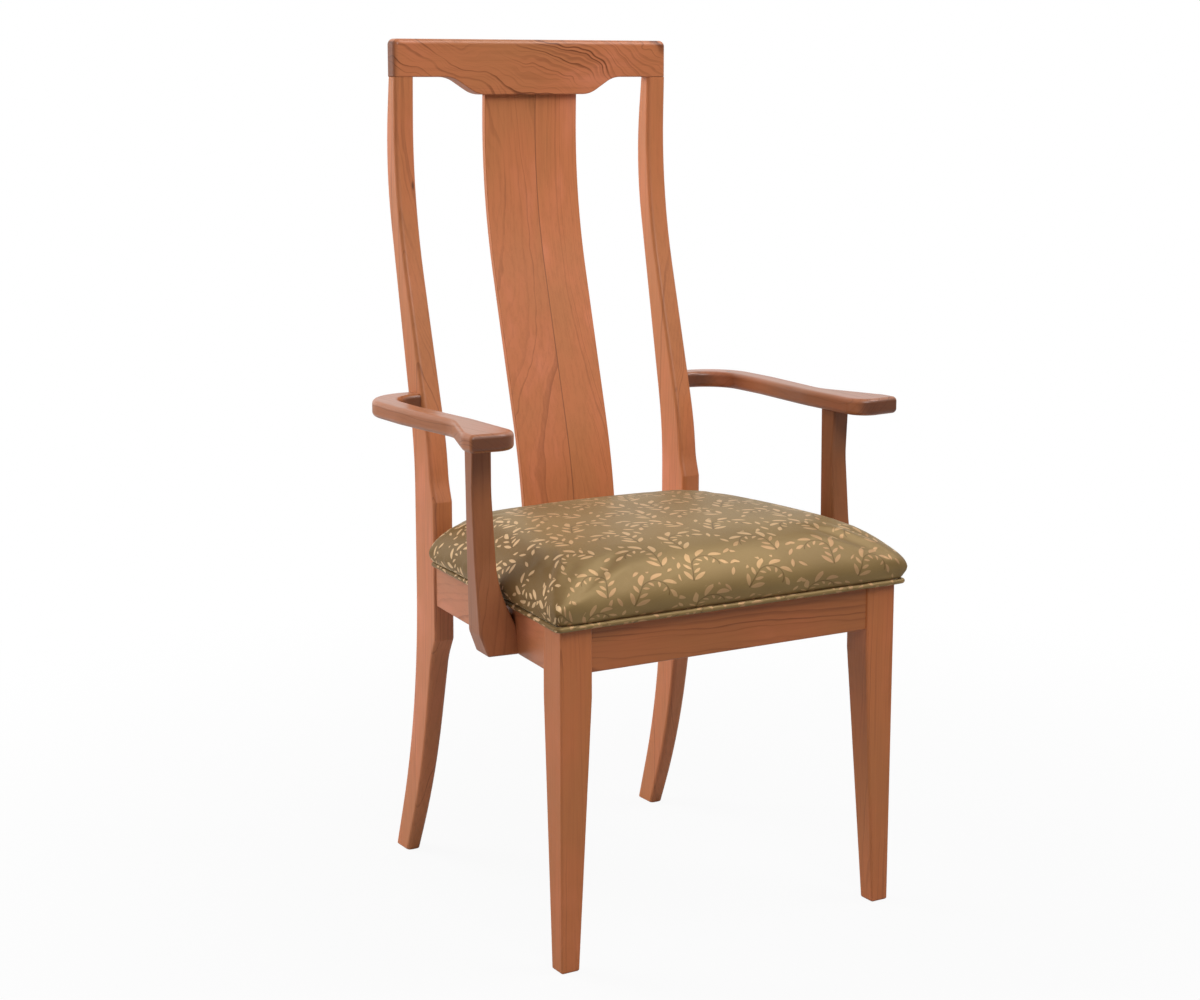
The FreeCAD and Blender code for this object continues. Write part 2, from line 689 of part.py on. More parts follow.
def arm(label, side):
    body = new_body(label)
    tail_rear = f"{ARM_TAIL_Y} + arm_tail_width"
    inner_back, inner_front = f"{HALF_BACK} + arm_back_reach", f"{HALF_FRONT} + arm_front_reach"
    outer_back, outer_tip = f"{inner_back} + arm_back_width", f"{inner_front} + arm_tip_width"
    tip = f"{FRONT} + arm_tip_setback"
    flare = f"{tip} + arm_tip_length"
    waist = f"{flare} + arm_flare_length"
    bend = f"{waist} + arm_bend_length"
    corners = [
        (HALF_BACK, tail_rear, None),
        (outer_back, tail_rear, "arm_shoulder_radius"),
        (outer_back, bend, "arm_bend_radius"),
        (f"{inner_front} + arm_waist_width", waist, "arm_waist_radius"),
        (outer_tip, flare, "arm_flare_radius"),
        (outer_tip, f"{tip} + arm_tip_skew", "arm_tip_radius"),
        (inner_front, tip, "arm_inner_tip_radius"),
        (inner_front, waist, "arm_bend_radius"),
        (inner_back, bend, "arm_bend_radius"),
        (inner_back, ARM_TAIL_Y, "arm_back_reach - arm_crook_land"),
        (HALF_BACK, ARM_TAIL_Y, None),
    ]
    pad(body, "arm", "XY_Plane", mirrored(side, corners), ARM_BOTTOM, "arm_thickness")
    levels = [number(ARM_BOTTOM), number(f"{ARM_BOTTOM} + arm_thickness")]
    butt = side * number(HALF_BACK)
    ease(body, "edges", "arm_edge_radius",
         lambda edge: lies_on(edge, "Z", levels) and not lies_on(edge, "X", (butt,)))
    for y in ARM_DOWEL_YS:
        hole(body, "post_dowel_hole", "+x" if side > 0 else "-x", (f"{side} * {HALF_BACK}", y, ARM_MIDDLE),
             ARM_DOWEL_HOLE, f"arm_dowel_in_arm + {FIT}")
    x, y = rail_plan(SUPPORT_DOWEL_X, "support_setback")
    hole(body, "support_dowel_hole", "+z", (f"{side} * {x}", y, ARM_BOTTOM),
         SUPPORT_DOWEL_HOLE, f"support_dowel_in_arm + {FIT}")


def arm_support(label, side):
    """Front view scooped on the inside, and a side view cut from it: a flared toe and a swept heel."""
    body = new_body(label)
    foot = "rail_bottom"
    front_view = [
        ("0", foot, None),
        ("0", f"{foot} + support_scoop_height", None),
        ("support_scoop_bend", f"{foot} + support_scoop_bend_height", "support_scoop_radius"),
        ("support_inner", ARM_BOTTOM, None),
        ("support_outer", ARM_BOTTOM, None),
        ("support_outer", f"{foot} + support_toe_height", "support_toe_radius"),
        ("support_toe", foot, "support_edge_radius"),
    ]
    pad(body, "blank", "XZ_Plane", mirrored(side, front_view), "0", "2 * support_flare", symmetric=True)
    waste = "(support_flare + support_outer)"
    front_waste = [
        (f"-{waste}", foot, None), ("-support_flare", foot, None),
        ("-support_half_depth - support_front_sweep", f"{foot} + support_flare_height",
         "support_flare_radius"),
        ("support_waist - support_half_depth", f"{ARM_BOTTOM} - support_waist_drop", "support_waist_radius"),
        ("-support_half_depth", ARM_BOTTOM, None), (f"-{waste}", ARM_BOTTOM, None),
    ]
    rear_waste = [
        (waste, foot, None), (waste, ARM_BOTTOM, None), ("support_half_depth", ARM_BOTTOM, None),
        ("support_half_depth - support_rear_sweep", f"{foot} + support_heel_height", "support_heel_radius"),
        ("support_heel", foot, None),
    ]
    for name, corners in (("flare", front_waste), ("heel", rear_waste)):
        pocket(body, name, "YZ_Plane", corners, "4 * support_outer")
    ease(body, "edges", "support_edge_radius",
         lambda edge: edge.BoundBox.ZLength > 1 and not lies_on(edge, "X", (0,)))
    hole(body, "arm_dowel_hole", "-z", (f"{side} * {SUPPORT_DOWEL_X}", "0", ARM_BOTTOM),
         SUPPORT_DOWEL_HOLE, f"support_dowel_in_support + {FIT}")
    for z in SUPPORT_SCREW_ZS:
        hole(body, "screw_hole", "+x" if side > 0 else "-x", ("0", "0", z),
             SCREW_HOLE, f"support_screw_grip + {FIT}")
    turn_with_rail(body, side, "0", "support_setback")


# Corner blocks inside the frame

def block_corners(end):
    """Plan of the right-hand corner block at the front or the back, and the place of its seat screw."""
    if end == "front":
        face = f"({FRONT} + front_rail_recess + rail_thickness)"
        near = f"({HALF_FRONT} - leg_size - block_gap_front)"
        along = ("block_gap_front", "block_gap_front + block_foot")
    else:
        face = f"({POST_Y} + back_rail_recess)"
        near = f"({POST_INNER} - block_gap_back)"
        along = (f"{RAIL_LENGTH} - block_gap_back", f"{RAIL_LENGTH} - block_gap_back - block_foot")
    plan = [(f"{near} - block_foot", face), (near, face)]
    plan += [rail_plan("-rail_thickness", place) for place in along]
    long_edge, short_edge = (plan[0], plan[3]), (plan[1], plan[2])
    seat_screw = []
    for axis in (0, 1):
        inner, outer = (f"(({first[axis]} + {last[axis]}) / 2)" for first, last in (long_edge, short_edge))
        seat_screw.append(f"({inner} + seat_screw_share * ({outer} - {inner}))")
    return plan, seat_screw


def corner_block(label, end, side):
    body = new_body(label)
    plan, (screw_x, screw_y) = block_corners(end)
    corners = mirrored(side, [(x, y, None) for x, y in plan])
    pad(body, "block", "XY_Plane", corners, f"{RAIL_TOP} - block_height", "block_height")
    hole(body, "seat_screw_hole", "+z", (f"{side} * {screw_x}", screw_y, f"{RAIL_TOP} - block_height"),
         SCREW_HOLE, "block_height")
    cross_x = f"{side} * (({plan[0][0]} + {plan[1][0]}) / 2)"
    face = plan[0][1]
    heading, sign = ("+y", "+") if end == "front" else ("-y", "-")
    hole(body, "rail_screw_hole", heading, (cross_x, face, BLOCK_MIDDLE), SCREW_HOLE, "screw_seat")
    hole(body, "rail_screw_head", heading, (cross_x, f"{face} {sign} screw_seat", BLOCK_MIDDLE),
         SCREW_HEAD_HOLE, "block_foot")
    along = BLOCK_SCREW_ALONG[end]
    inward = "-x" if side > 0 else "+x"
    for name, across, width, depth in (
        ("side_screw_hole", "-rail_thickness", SCREW_HOLE, "screw_seat"),
        ("side_screw_head", "-rail_thickness - screw_seat", SCREW_HEAD_HOLE, "block_foot"),
    ):
        x, y = rail_plan(across, along)
        hole(body, name, inward, (f"{side} * {x}", y, BLOCK_MIDDLE), width, depth, turn=side)


# Seat: outlines at a reach from the frame's outer faces

WELT_REACH = f"(welt_diameter - seat_foot_inset + {FIT})"
SEAT_REAR = f"({POST_Y} - seat_gap - {WELT_REACH})"


def seat_outline(reach, radius, rear_reach=None, start=()):
    """The seat's plan, grown outward by the reach, with rounded corners; its rear side may reach less."""
    front, rear = f"({FRONT} - ({reach}))", f"({SEAT_REAR} + ({rear_reach or reach}))"
    wide, narrow = f"({HALF_FRONT} + ({reach}))", f"({HALF_BACK} + ({reach}))"
    right = [(wide, front, radius), (narrow, rear, radius)]
    left = [(f"-{narrow}", rear, radius), (f"-{wide}", front, radius)]
    return [*start, *right, *left]


# Cushion sections from its foot to its crown: reach at front and sides, at the rear, height, corner radius
BULGE = "seat_bulge_rise"
SHOULDER = f"{BULGE} + seat_shoulder_rise"
ROLL = f"{SHOULDER} + seat_roll_rise"
BROW = f"{ROLL} + seat_brow_rise"
SEAT_SECTIONS = [
    ("-seat_foot_inset", "-seat_foot_inset", "0", "seat_corner_radius"),
    ("-seat_foot_inset", "-seat_foot_inset", "welt_diameter", "seat_corner_radius"),
    ("seat_overhang", WELT_REACH, BULGE, "seat_corner_radius"),
    ("-seat_shoulder_inset", "-seat_shoulder_inset", SHOULDER, "seat_corner_radius"),
    ("-seat_roll_inset", "-seat_roll_inset", ROLL, "seat_corner_radius"),
    ("-seat_brow_inset", "-seat_brow_inset", BROW, "seat_crown_radius"),
    ("-seat_crown_inset", "-seat_crown_inset", f"{BROW} + seat_crown_rise", "seat_crown_radius"),
]


def cushion_loft(body, kind, inset):
    """The crowned form of the cushion, shrunk by an inset everywhere but at its foot."""
    sketches = []
    for place, (reach, rear_reach, height, radius) in enumerate(SEAT_SECTIONS):
        level = f"{RAIL_TOP} + {height}" if place < 2 else f"{RAIL_TOP} + {height} - ({inset})"
        sketch = new_sketch(body, f"section_{place}", "XY_Plane", level)
        outline(sketch, seat_outline(f"{reach} - ({inset})", radius, f"{rear_reach} - ({inset})"))
        sketches.append(sketch)
    loft = body.newObject(f"PartDesign::{kind}Loft", "cushion")
    loft.Profile = sketches[0]
    loft.Sections = sketches[1:]


BOARD_BOTTOM = f"({RAIL_TOP} + dust_cover_thickness)"
BOARD_TOP = f"({BOARD_BOTTOM} + board_thickness)"
LINING = "cover_thickness + cover_gap"


def seat_cover():
    body = new_body("seat_cover")
    cushion_loft(body, "Additive", "0")
    cushion_loft(body, "Subtractive", "cover_thickness")


def seat_foam():
    body = new_body("seat_foam")
    cushion_loft(body, "Additive", LINING)
    half = f"({HALF_FRONT} + seat_overhang)"
    box(body, "Subtractive", "board_space", 1, (f"-{half}", f"{FRONT} - seat_overhang", RAIL_TOP),
        (half, POST_Y, BOARD_TOP))


def seat_screw_places():
    """Plan of the four seat screws."""
    places = []
    for end in ("front", "back"):
        x, y = block_corners(end)[1]
        places += [(f"{side} * {x}", y) for side in SIDES.values()]
    return places


def seat_board():
    body = new_body("seat_board")
    corners = seat_outline("-seat_foot_inset - cover_thickness - board_gap", "seat_corner_radius")
    pad(body, "board", "XY_Plane", corners, BOARD_BOTTOM, "board_thickness")
    for x, y in seat_screw_places():
        hole(body, "screw_hole", "+z", (x, y, BOARD_BOTTOM), SCREW_HOLE, f"seat_screw_grip + {FIT}")


def seat_dust_cover():
    body = new_body("seat_dust_cover")
    corners = seat_outline("-dust_cover_inset", "seat_corner_radius")
    pad(body, "sheet", "XY_Plane", corners, RAIL_TOP, "dust_cover_thickness")
    for x, y in seat_screw_places():
        hole(body, "screw_hole", "+z", (x, y, RAIL_TOP), SCREW_HOLE, "dust_cover_thickness")


def seat_welt():
    """A cord of the cover's cloth, laid on the rails round the foot of the cushion."""
    body = new_body("seat_welt")
    reach = f"({WELT_REACH} - welt_diameter / 2)"
    level = f"({RAIL_TOP} + welt_diameter / 2)"
    path = new_sketch(body, "path", "XY_Plane", level)
    outline(path, seat_outline(reach, "seat_corner_radius", start=[("0", f"{FRONT} - {reach}", None)]))
    section = new_sketch(body, "section", "YZ_Plane")
    for axis, place in (("x", f"{FRONT} - {reach}"), ("y", level)):
        section.setExpression(f"AttachmentOffset.Base.{axis}", formula(place))
    section.addGeometry(Part.Circle(Vector(), Vector(0, 0, 1), number("welt_diameter") / 2))
    section.addConstraint(Sketcher.Constraint("Coincident", 0, 3, -1, 1))
    size = section.addConstraint(Sketcher.Constraint("Diameter", 0, number("welt_diameter")))
    section.setExpression(f"Constraints[{size}]", formula("welt_diameter"))
    pipe = body.newObject("PartDesign::AdditivePipe", "welt")
    pipe.Profile = section
    pipe.Spine = path


# Groups of screws and dowels

def turned_piece(profile, base, heading):
    """A round piece from its half profile (radius, height), stood at its base along a heading."""
    points = [Vector(0, 0, profile[0][1])] + [Vector(radius, 0, height) for radius, height in profile]
    points += [Vector(0, 0, profile[-1][1]), points[0]]
    unique = [point for place, point in enumerate(points) if place == 0 or point != points[place - 1]]
    solid = Part.Face(Part.makePolygon(unique)).revolve(Vector(), Vector(0, 0, 1), 360)
    solid.Placement = Placement(base, Rotation(Vector(0, 0, 1), heading))
    return solid


def screw(base, heading, length):
    """A wood screw with its bearing face at the base and its point along the heading."""
    shank, head = number("screw_diameter / 2"), number("screw_head_diameter / 2")
    profile = [(head, -number("screw_head_height")), (head, 0), (shank, 0)]
    profile += [(shank, length - 2 * shank), (0, length)]
    return turned_piece(profile, base, heading)


def dowel(base, heading, diameter, length):
    radius, bevel = diameter / 2, diameter / 8
    profile = [(radius - bevel, 0), (radius, bevel), (radius, length - bevel), (radius - bevel, length)]
    return turned_piece(profile, base, heading)


def at(x, y, z):
    return Vector(number(x), number(y), number(z))


def group(label, solids):
    feature = doc.addObject("Part::Feature", label)
    feature.Label = label
    feature.Shape = Part.makeCompound(solids)
    feature.Placement = Placement()
    subparts.append(feature)


def rail_outward(side):
    angle = math.radians(number(SPLAY))
    return Vector(side * math.cos(angle), math.sin(angle), 0)


def corner_block_screws():
    solids = []
    length = number("screw_seat + screw_grip")
    for end, sign in (("front", 1), ("back", -1)):
        plan = block_corners(end)[0]
        along = BLOCK_SCREW_ALONG[end]
        rail_x, rail_y = rail_plan("-rail_thickness - screw_seat", along)
        for side in SIDES.values():
            cross_x = f"{side} * (({plan[0][0]} + {plan[1][0]}) / 2)"
            cross = at(cross_x, f"{plan[0][1]} + {sign} * screw_seat", BLOCK_MIDDLE)
            solids.append(screw(cross, Vector(0, -sign, 0), length))
            solids.append(screw(at(f"{side} * {rail_x}", rail_y, BLOCK_MIDDLE), rail_outward(side), length))
    group("corner_block_screws", solids)


def seat_screws():
    length = number("block_height + dust_cover_thickness + seat_screw_grip")
    group("seat_screws", [screw(at(x, y, f"{RAIL_TOP} - block_height"), Vector(0, 0, 1), length)
                          for x, y in seat_screw_places()])


def arm_support_screws():
    length = number("rail_thickness - screw_head_height + support_screw_grip")
    x, y = rail_plan("screw_head_height - rail_thickness", "support_setback")
    group("arm_support_screws", [screw(at(f"{side} * {x}", y, z), rail_outward(side), length)
                                 for side in SIDES.values() for z in SUPPORT_SCREW_ZS])


def arm_dowels():
    length = number("arm_dowel_in_post + arm_dowel_in_arm")
    group("arm_dowels", [
        dowel(at(f"{side} * ({HALF_BACK} - arm_dowel_in_post)", y, ARM_MIDDLE), Vector(side, 0, 0),
              number("arm_dowel_diameter"), length)
        for side in SIDES.values() for y in ARM_DOWEL_YS])


def support_dowels():
    length = number("support_dowel_in_support + support_dowel_in_arm")
    x, y = rail_plan(SUPPORT_DOWEL_X, "support_setback")
    group("support_dowels", [
        dowel(at(f"{side} * {x}", y, f"{ARM_BOTTOM} - support_dowel_in_support"), Vector(0, 0, 1),
              number("support_dowel_diameter"), length)
        for side in SIDES.values()])


# The chair

for word, side in SIDES.items():
    back_post(f"back_post_{word}", side)
    front_leg(f"front_leg_{word}", side)
    side_rail(f"side_seat_rail_{word}", side)
    splat_board(f"splat_board_{word}", side)
    arm(f"arm_{word}", side)
    arm_support(f"arm_support_{word}", side)
    for end in ("front", "back"):
        corner_block(f"corner_block_{end}_{word}", end, side)
front_rail()
back_rail()
crest_rail()
seat_board()
seat_foam()
seat_cover()
seat_welt()
seat_dust_cover()
corner_block_screws()
seat_screws()
arm_support_screws()
arm_dowels()
support_dowels()
doc.recompute()

for thing in doc.Objects:
    if {"Invalid", "Error"} & set(thing.State):
        raise RuntimeError(f"{thing.Label} failed: {thing.State}")
for part in subparts:
    if part.Shape.isNull() or not part.Shape.isValid():
        raise RuntimeError(f"{part.Label} has no valid shape")

os.makedirs("parts", exist_ok=True)
for part in subparts:
    part.Shape.exportStep(f"parts/{part.Label}.step")
    box_size = part.Shape.BoundBox
    print(f"{part.Label}: {len(part.Shape.Solids)} solid(s), {part.Shape.Volume / 1000:.1f} cm3, "
          f"{box_size.XLength:.1f} x {box_size.YLength:.1f} x {box_size.ZLength:.1f} mm")
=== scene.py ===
# %% [markdown]
# # A dining armchair in cherry, with a woven leaf-sprig seat
#
# The frame of this chair is all joinery: sabre back feet that run up into curved posts, a
# scalloped crest, a plain splat and open arms. Those pieces come ready made from the packed
# model, at their real size, so this lesson gives them their wood, and then makes what a joiner
# leaves to the upholsterer: the cushion, its welt and the dust cover.
#
# Everything is in metres. X runs to the right seen from the front, Y to the back and Z up from
# the floor.

# %% Load the frame
import json
import math

import bmesh
import bpy
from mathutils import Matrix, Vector
from mathutils.bvhtree import BVHTree


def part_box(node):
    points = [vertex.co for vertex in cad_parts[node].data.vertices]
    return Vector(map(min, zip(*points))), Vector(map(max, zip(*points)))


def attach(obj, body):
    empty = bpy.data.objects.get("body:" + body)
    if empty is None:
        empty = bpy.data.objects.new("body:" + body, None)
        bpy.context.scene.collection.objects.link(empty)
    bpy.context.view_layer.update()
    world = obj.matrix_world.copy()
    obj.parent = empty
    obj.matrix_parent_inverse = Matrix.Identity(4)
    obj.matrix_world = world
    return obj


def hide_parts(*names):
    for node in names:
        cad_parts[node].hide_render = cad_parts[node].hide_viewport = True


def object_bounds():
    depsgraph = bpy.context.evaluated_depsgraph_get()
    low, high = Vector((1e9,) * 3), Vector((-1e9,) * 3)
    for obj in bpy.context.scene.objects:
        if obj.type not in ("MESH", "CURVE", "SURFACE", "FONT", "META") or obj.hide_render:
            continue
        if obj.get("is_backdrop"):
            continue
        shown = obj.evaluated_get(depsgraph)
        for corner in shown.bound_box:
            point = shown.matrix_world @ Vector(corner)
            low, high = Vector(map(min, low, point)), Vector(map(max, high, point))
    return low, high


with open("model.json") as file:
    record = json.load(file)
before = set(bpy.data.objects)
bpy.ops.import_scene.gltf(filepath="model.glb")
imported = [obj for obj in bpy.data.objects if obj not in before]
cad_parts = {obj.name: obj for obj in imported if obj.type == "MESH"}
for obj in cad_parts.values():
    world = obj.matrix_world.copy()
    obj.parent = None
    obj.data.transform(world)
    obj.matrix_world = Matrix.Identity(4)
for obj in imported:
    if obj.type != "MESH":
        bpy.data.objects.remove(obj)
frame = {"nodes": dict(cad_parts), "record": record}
nodes = frame["nodes"]
cad_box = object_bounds()
print("frame:", len(nodes), "nodes, size", [round(v, 3) for v in cad_box[1] - cad_box[0]])

# %% [markdown]
# ## The camera
#
# A photograph fixes where its camera stood: the way the two sides of the seat run together gives
# the distance, and the height at which level edges stop tilting gives the height of the lens.
# Trial and error would reach the same place slowly. Here the place was solved from the corners
# of the legs, rails and crest, so it is written down as a point, two angles and a focal length.
# Nothing is shifted, because the chair stands in the middle of the picture.

# %% Place the camera
CAMERA_PLACE = (-1.4953, -2.4279, 1.0524)
CAMERA_YAW = math.radians(30.986)
CAMERA_DROP = math.radians(10.778)
FOCAL_LENGTH = 67.08
SENSOR_WIDTH = 36

lens = bpy.data.cameras.new("camera")
lens.lens = FOCAL_LENGTH
lens.sensor_width = SENSOR_WIDTH
lens.sensor_fit = "HORIZONTAL"
camera = bpy.data.objects.new("camera", lens)
camera.location = CAMERA_PLACE
camera.rotation_euler = (math.pi / 2 - CAMERA_DROP, 0, -CAMERA_YAW)
bpy.context.scene.collection.objects.link(camera)
bpy.context.scene.camera = camera
bpy.context.scene.view_settings.view_transform = "Standard"
print("camera at", CAMERA_PLACE, "focal length", FOCAL_LENGTH)

# %% [markdown]
# ## Shader sums as plain Python
#
# A wood or a woven cloth is a long sum, and a long sum drawn as boxes and wires is hard to read.
# The class below wraps one socket. Sums, products and comparisons on it add Math nodes, so a
# growth ring can be written the way it would be on paper. Every other node comes through `add`,
# which sets the node first and feeds its sockets after.

# %% Wrap a socket
def feed(socket, value):
    """Link a wire to a socket, or set the socket to a plain value."""
    if isinstance(value, Wire):
        value.tree.links.new(value.socket, socket)
    else:
        socket.default_value = value


class Wire:
    """A socket of a shader tree that can be summed, scaled and compared like a number."""

    def __init__(self, tree, socket=None):
        self.tree = tree
        self.socket = socket

    def add(self, kind, settings=None, sockets=None, out=0):
        """Add a node: its settings first, then what feeds its sockets, and give one output."""
        node = self.tree.nodes.new(kind)
        for name, value in (settings or {}).items():
            setattr(node, name, value)
        for name, value in (sockets or {}).items():
            feed(node.inputs[name], value)
        return Wire(self.tree, node.outputs[out])

    def apply(self, operation, *others):
        values = dict(enumerate((self, *others)))
        return self.add("ShaderNodeMath", {"operation": operation}, values)

    def swapped(self, operation, other):
        return self.add("ShaderNodeMath", {"operation": operation}, {0: other, 1: self})

    def __add__(self, other):
        return self.apply("ADD", other)

    def __sub__(self, other):
        return self.apply("SUBTRACT", other)

    def __mul__(self, other):
        return self.apply("MULTIPLY", other)

    def __truediv__(self, other):
        return self.apply("DIVIDE", other)

    def __pow__(self, other):
        return self.apply("POWER", other)

    def __lt__(self, other):
        return self.apply("LESS_THAN", other)

    def __gt__(self, other):
        return self.apply("GREATER_THAN", other)

    def __abs__(self):
        return self.apply("ABSOLUTE")

    def __neg__(self):
        return self * -1

    def __rsub__(self, other):
        return self.swapped("SUBTRACT", other)

    def __rtruediv__(self, other):
        return self.swapped("DIVIDE", other)

    __radd__ = __add__
    __rmul__ = __mul__

    def step(self, low, high):
        """0 below low, 1 above high, and a smooth rise between them."""
        return self.add("ShaderNodeMapRange", {"interpolation_type": "SMOOTHSTEP"},
                        {"Value": self, "From Min": low, "From Max": high})

    def parts(self):
        return [self.add("ShaderNodeSeparateXYZ", None, {0: self}, out=axis) for axis in range(3)]

    def joined(self, *values):
        return self.add("ShaderNodeCombineXYZ", None, dict(enumerate(values)))

    def mix(self, first, second):
        """From the first colour to the second, by this socket's value."""
        colours = {0: self, 6: first, 7: second}
        return self.add("ShaderNodeMix", {"data_type": "RGBA"}, colours, out=2)

    def noise(self, scale, detail=2.0, roughness=0.5):
        cells = {"Vector": self, "Scale": scale, "Detail": detail, "Roughness": roughness}
        return self.add("ShaderNodeTexNoise", None, cells)


print("Wire:", Wire.__doc__)

# %% [markdown]
# Colours are noted the way they show on a screen, from 0 to 255, and `paint` turns them into
# light. A new material comes with its one Principled shader, and `plug` feeds that shader's
# sockets, with wires where a value changes over the surface and with numbers where it doesn't.

# %% Mix paints and start materials
def as_light(share):
    """One channel of a screen colour, from 0 to 1, turned into light."""
    return share / 12.92 if share <= 0.04045 else ((share + 0.055) / 1.055) ** 2.4


def paint(red, green, blue):
    """A screen colour, from 0 to 255, turned into light."""
    return (*[as_light(value / 255) for value in (red, green, blue)], 1)


def new_material(name):
    """A material, the wire that its nodes start from, and its shader."""
    material = bpy.data.materials.new(name)
    material.use_nodes = True
    return material, Wire(material.node_tree), material.node_tree.nodes["Principled BSDF"]


def plug(node, **sockets):
    """Feed a node's sockets, named with underscores for spaces."""
    for name, value in sockets.items():
        feed(node.inputs[name.replace("_", " ")], value)


print("wood brown as light:", [round(v, 3) for v in paint(178, 108, 74)])

# %% [markdown]
# ## Floor and light
#
# The chair was photographed in a studio: a white backdrop behind, which also throws its light
# forward, a pale ceiling, a dim room in front, and soft boxes at the left, above and in front. A
# white sweep could be lit until it burns out, but that would also wash out the wood. Instead the
# lamps stay at a plain level, and the world shows itself as white only to the camera and, behind
# the chair and above it, to reflections. The backdrop then lies as a pale haze on the tops of
# the arms and on the faces that turn away from the camera.

# %% Fill the room with light
WHITE = (1, 1, 1, 1)
ROOM_LEVEL = 0.12
BACKDROP_LEVEL = 0.85
BACKDROP_RISE = (-0.30, 0.60)
ROOM_GLOSS = 0.05
CEILING_GLOSS = 1.0
CEILING_RISE = (0.05, 0.40)
BACKDROP_GLOSS_RISE = (-0.35, 0.35)


def ray(start, *kinds):
    """1 for a ray of any of these kinds."""
    first, *others = (start.add("ShaderNodeLightPath", out=f"Is {kind} Ray") for kind in kinds)
    for other in others:
        first = first.apply("MAXIMUM", other)
    return first


def studio_world():
    world = bpy.data.worlds.new("studio")
    world.use_nodes = True
    start = Wire(world.node_tree)
    _, depth, height = start.add("ShaderNodeTexCoord", out="Generated").parts()
    ceiling = ROOM_GLOSS + height.step(*CEILING_RISE) * (CEILING_GLOSS - ROOM_GLOSS)
    gloss = ceiling + depth.step(*BACKDROP_GLOSS_RISE) * (1 - ceiling)
    spread = ROOM_LEVEL + depth.step(*BACKDROP_RISE) * (BACKDROP_LEVEL - ROOM_LEVEL)
    unseen = spread + ray(start, "Glossy", "Transmission") * (gloss - spread)
    level = unseen + ray(start, "Camera") * (1 - unseen)
    plug(world.node_tree.nodes["Background"], Color=WHITE, Strength=level)
    bpy.context.scene.world = world


studio_world()
print("world:", bpy.context.scene.world.name)

# %% [markdown]
# A studio floor is white paper, with a soft shadow where the chair stands. It plays the same
# trick as the world: to the camera most of it is plain light, and the share that is left is a
# grey surface that takes the shadow. Farther out even that share fades, so no horizon shows.

# %% Lay the floor
FLOOR_SIZE = 16
FLOOR_GREY = (0.46, 0.46, 0.46, 1)
FLOOR_ROUGHNESS = 0.9
FLOOR_WHITE = 0.93
FLOOR_GLOSS = 0.06
SHADOW_FADE = (0.4, 1.7)


def studio_floor():
    bpy.ops.mesh.primitive_plane_add(size=FLOOR_SIZE)
    floor = bpy.context.object
    floor.name = "floor"
    material, start, shader = new_material("floor_white")
    plug(shader, Base_Color=FLOOR_GREY, Roughness=FLOOR_ROUGHNESS, Specular_IOR_Level=0)
    place = start.add("ShaderNodeTexCoord", out="Object")
    away = start.add("ShaderNodeVectorMath", {"operation": "LENGTH"}, {0: place}, out="Value")
    bare = away.step(*SHADOW_FADE) * (1 - FLOOR_WHITE) + FLOOR_WHITE
    share = ray(start, "Camera") * bare + ray(start, "Glossy", "Transmission") * FLOOR_GLOSS
    glow = start.add("ShaderNodeEmission", None, {"Color": WHITE, "Strength": 1})
    lit = Wire(material.node_tree, shader.outputs[0])
    both = start.add("ShaderNodeMixShader", None, {0: share, 1: lit, 2: glow})
    plug(material.node_tree.nodes["Material Output"], Surface=both)
    floor.data.materials.append(material)
    floor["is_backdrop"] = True


studio_floor()
print("floor:", FLOOR_SIZE, "m square")

# %% [markdown]
# Three soft boxes model the wood: one from the left and behind, one from above at the right, and
# one from the front. Points of light would draw hard shadows, so each is a large square. The box
# at the left stands against the backdrop, so it leaves no highlight of its own.

# %% Hang the lamps
SEAT_MIDDLE = (0, 0, 0.55)
LAMP_SIZE = 1.6
# Name: place, power in watts, and whether it shows in reflections
LAMPS = {
    "left_box": ((-1.8, 2.3, 1.5), 80, False),
    "top_box": ((1.5, -1.1, 3.1), 46, True),
    "front_box": ((-0.7, -2.9, 3.0), 68, True),
}


def soft_box(name, place, power, mirrored):
    """A square lamp that looks at the seat."""
    lamp = bpy.data.lights.new(name, "AREA")
    lamp.shape = "SQUARE"
    lamp.size = LAMP_SIZE
    lamp.energy = power
    box = bpy.data.objects.new(name, lamp)
    box.location = place
    aim = Vector(SEAT_MIDDLE) - Vector(place)
    box.rotation_euler = aim.to_track_quat("-Z", "Y").to_euler()
    box.visible_glossy = mirrored
    bpy.context.scene.collection.objects.link(box)


for name, settings in LAMPS.items():
    soft_box(name, *settings)
print("lamps:", list(LAMPS))

# %% [markdown]
# ## Cherry
#
# Cherry is a close-grained wood: a salmon brown ground, rings that show as slightly darker
# lines, fine fibres and here and there a small dark gum fleck. Its colours and measures come
# first. Each noise has so many cells to the metre across the grain and along it, which makes
# fibres long and thin and clouds broad.

# %% Note the colours and measures of cherry
CHERRY = paint(182, 108, 69)
CHERRY_ROSE = paint(195, 119, 86)
CHERRY_TAN = paint(172, 107, 66)
CHERRY_LINE = paint(112, 60, 32)
CHERRY_END = paint(96, 54, 34)
GUM = paint(58, 32, 22)
PLAIN = (1, 1, 1)
GRAIN_AXES = {"X": (1, 2, 0), "Y": (0, 2, 1), "Z": (0, 1, 2)}
BOARD_SHIFT = 40

# Cells across and along the grain, detail and roughness
RIPPLES = (45, 12)
PATCHES = (12, 5)
FIBRES = (1100, 26, 2.0, 0.6)
STREAKS = (210, 5, 3.0, 0.6)
CLOUDS = (13, 6, 3.0, 0.55)
WARP_CELLS, WARP_DETAIL = 9, 3.0
GUM_CELLS = (38, 12)

# Rings: small ripples, the drift of wide and narrow years, and how a year's line darkens
RIPPLE_SIZE = 0.006
DRIFT_CELLS, DRIFT_YEARS = 0.55, 3.0
LATE_WOOD = (0.50, 0.94)
PATCH_RISE = (0.25, 0.60)
FAINT_YEAR = 0.14

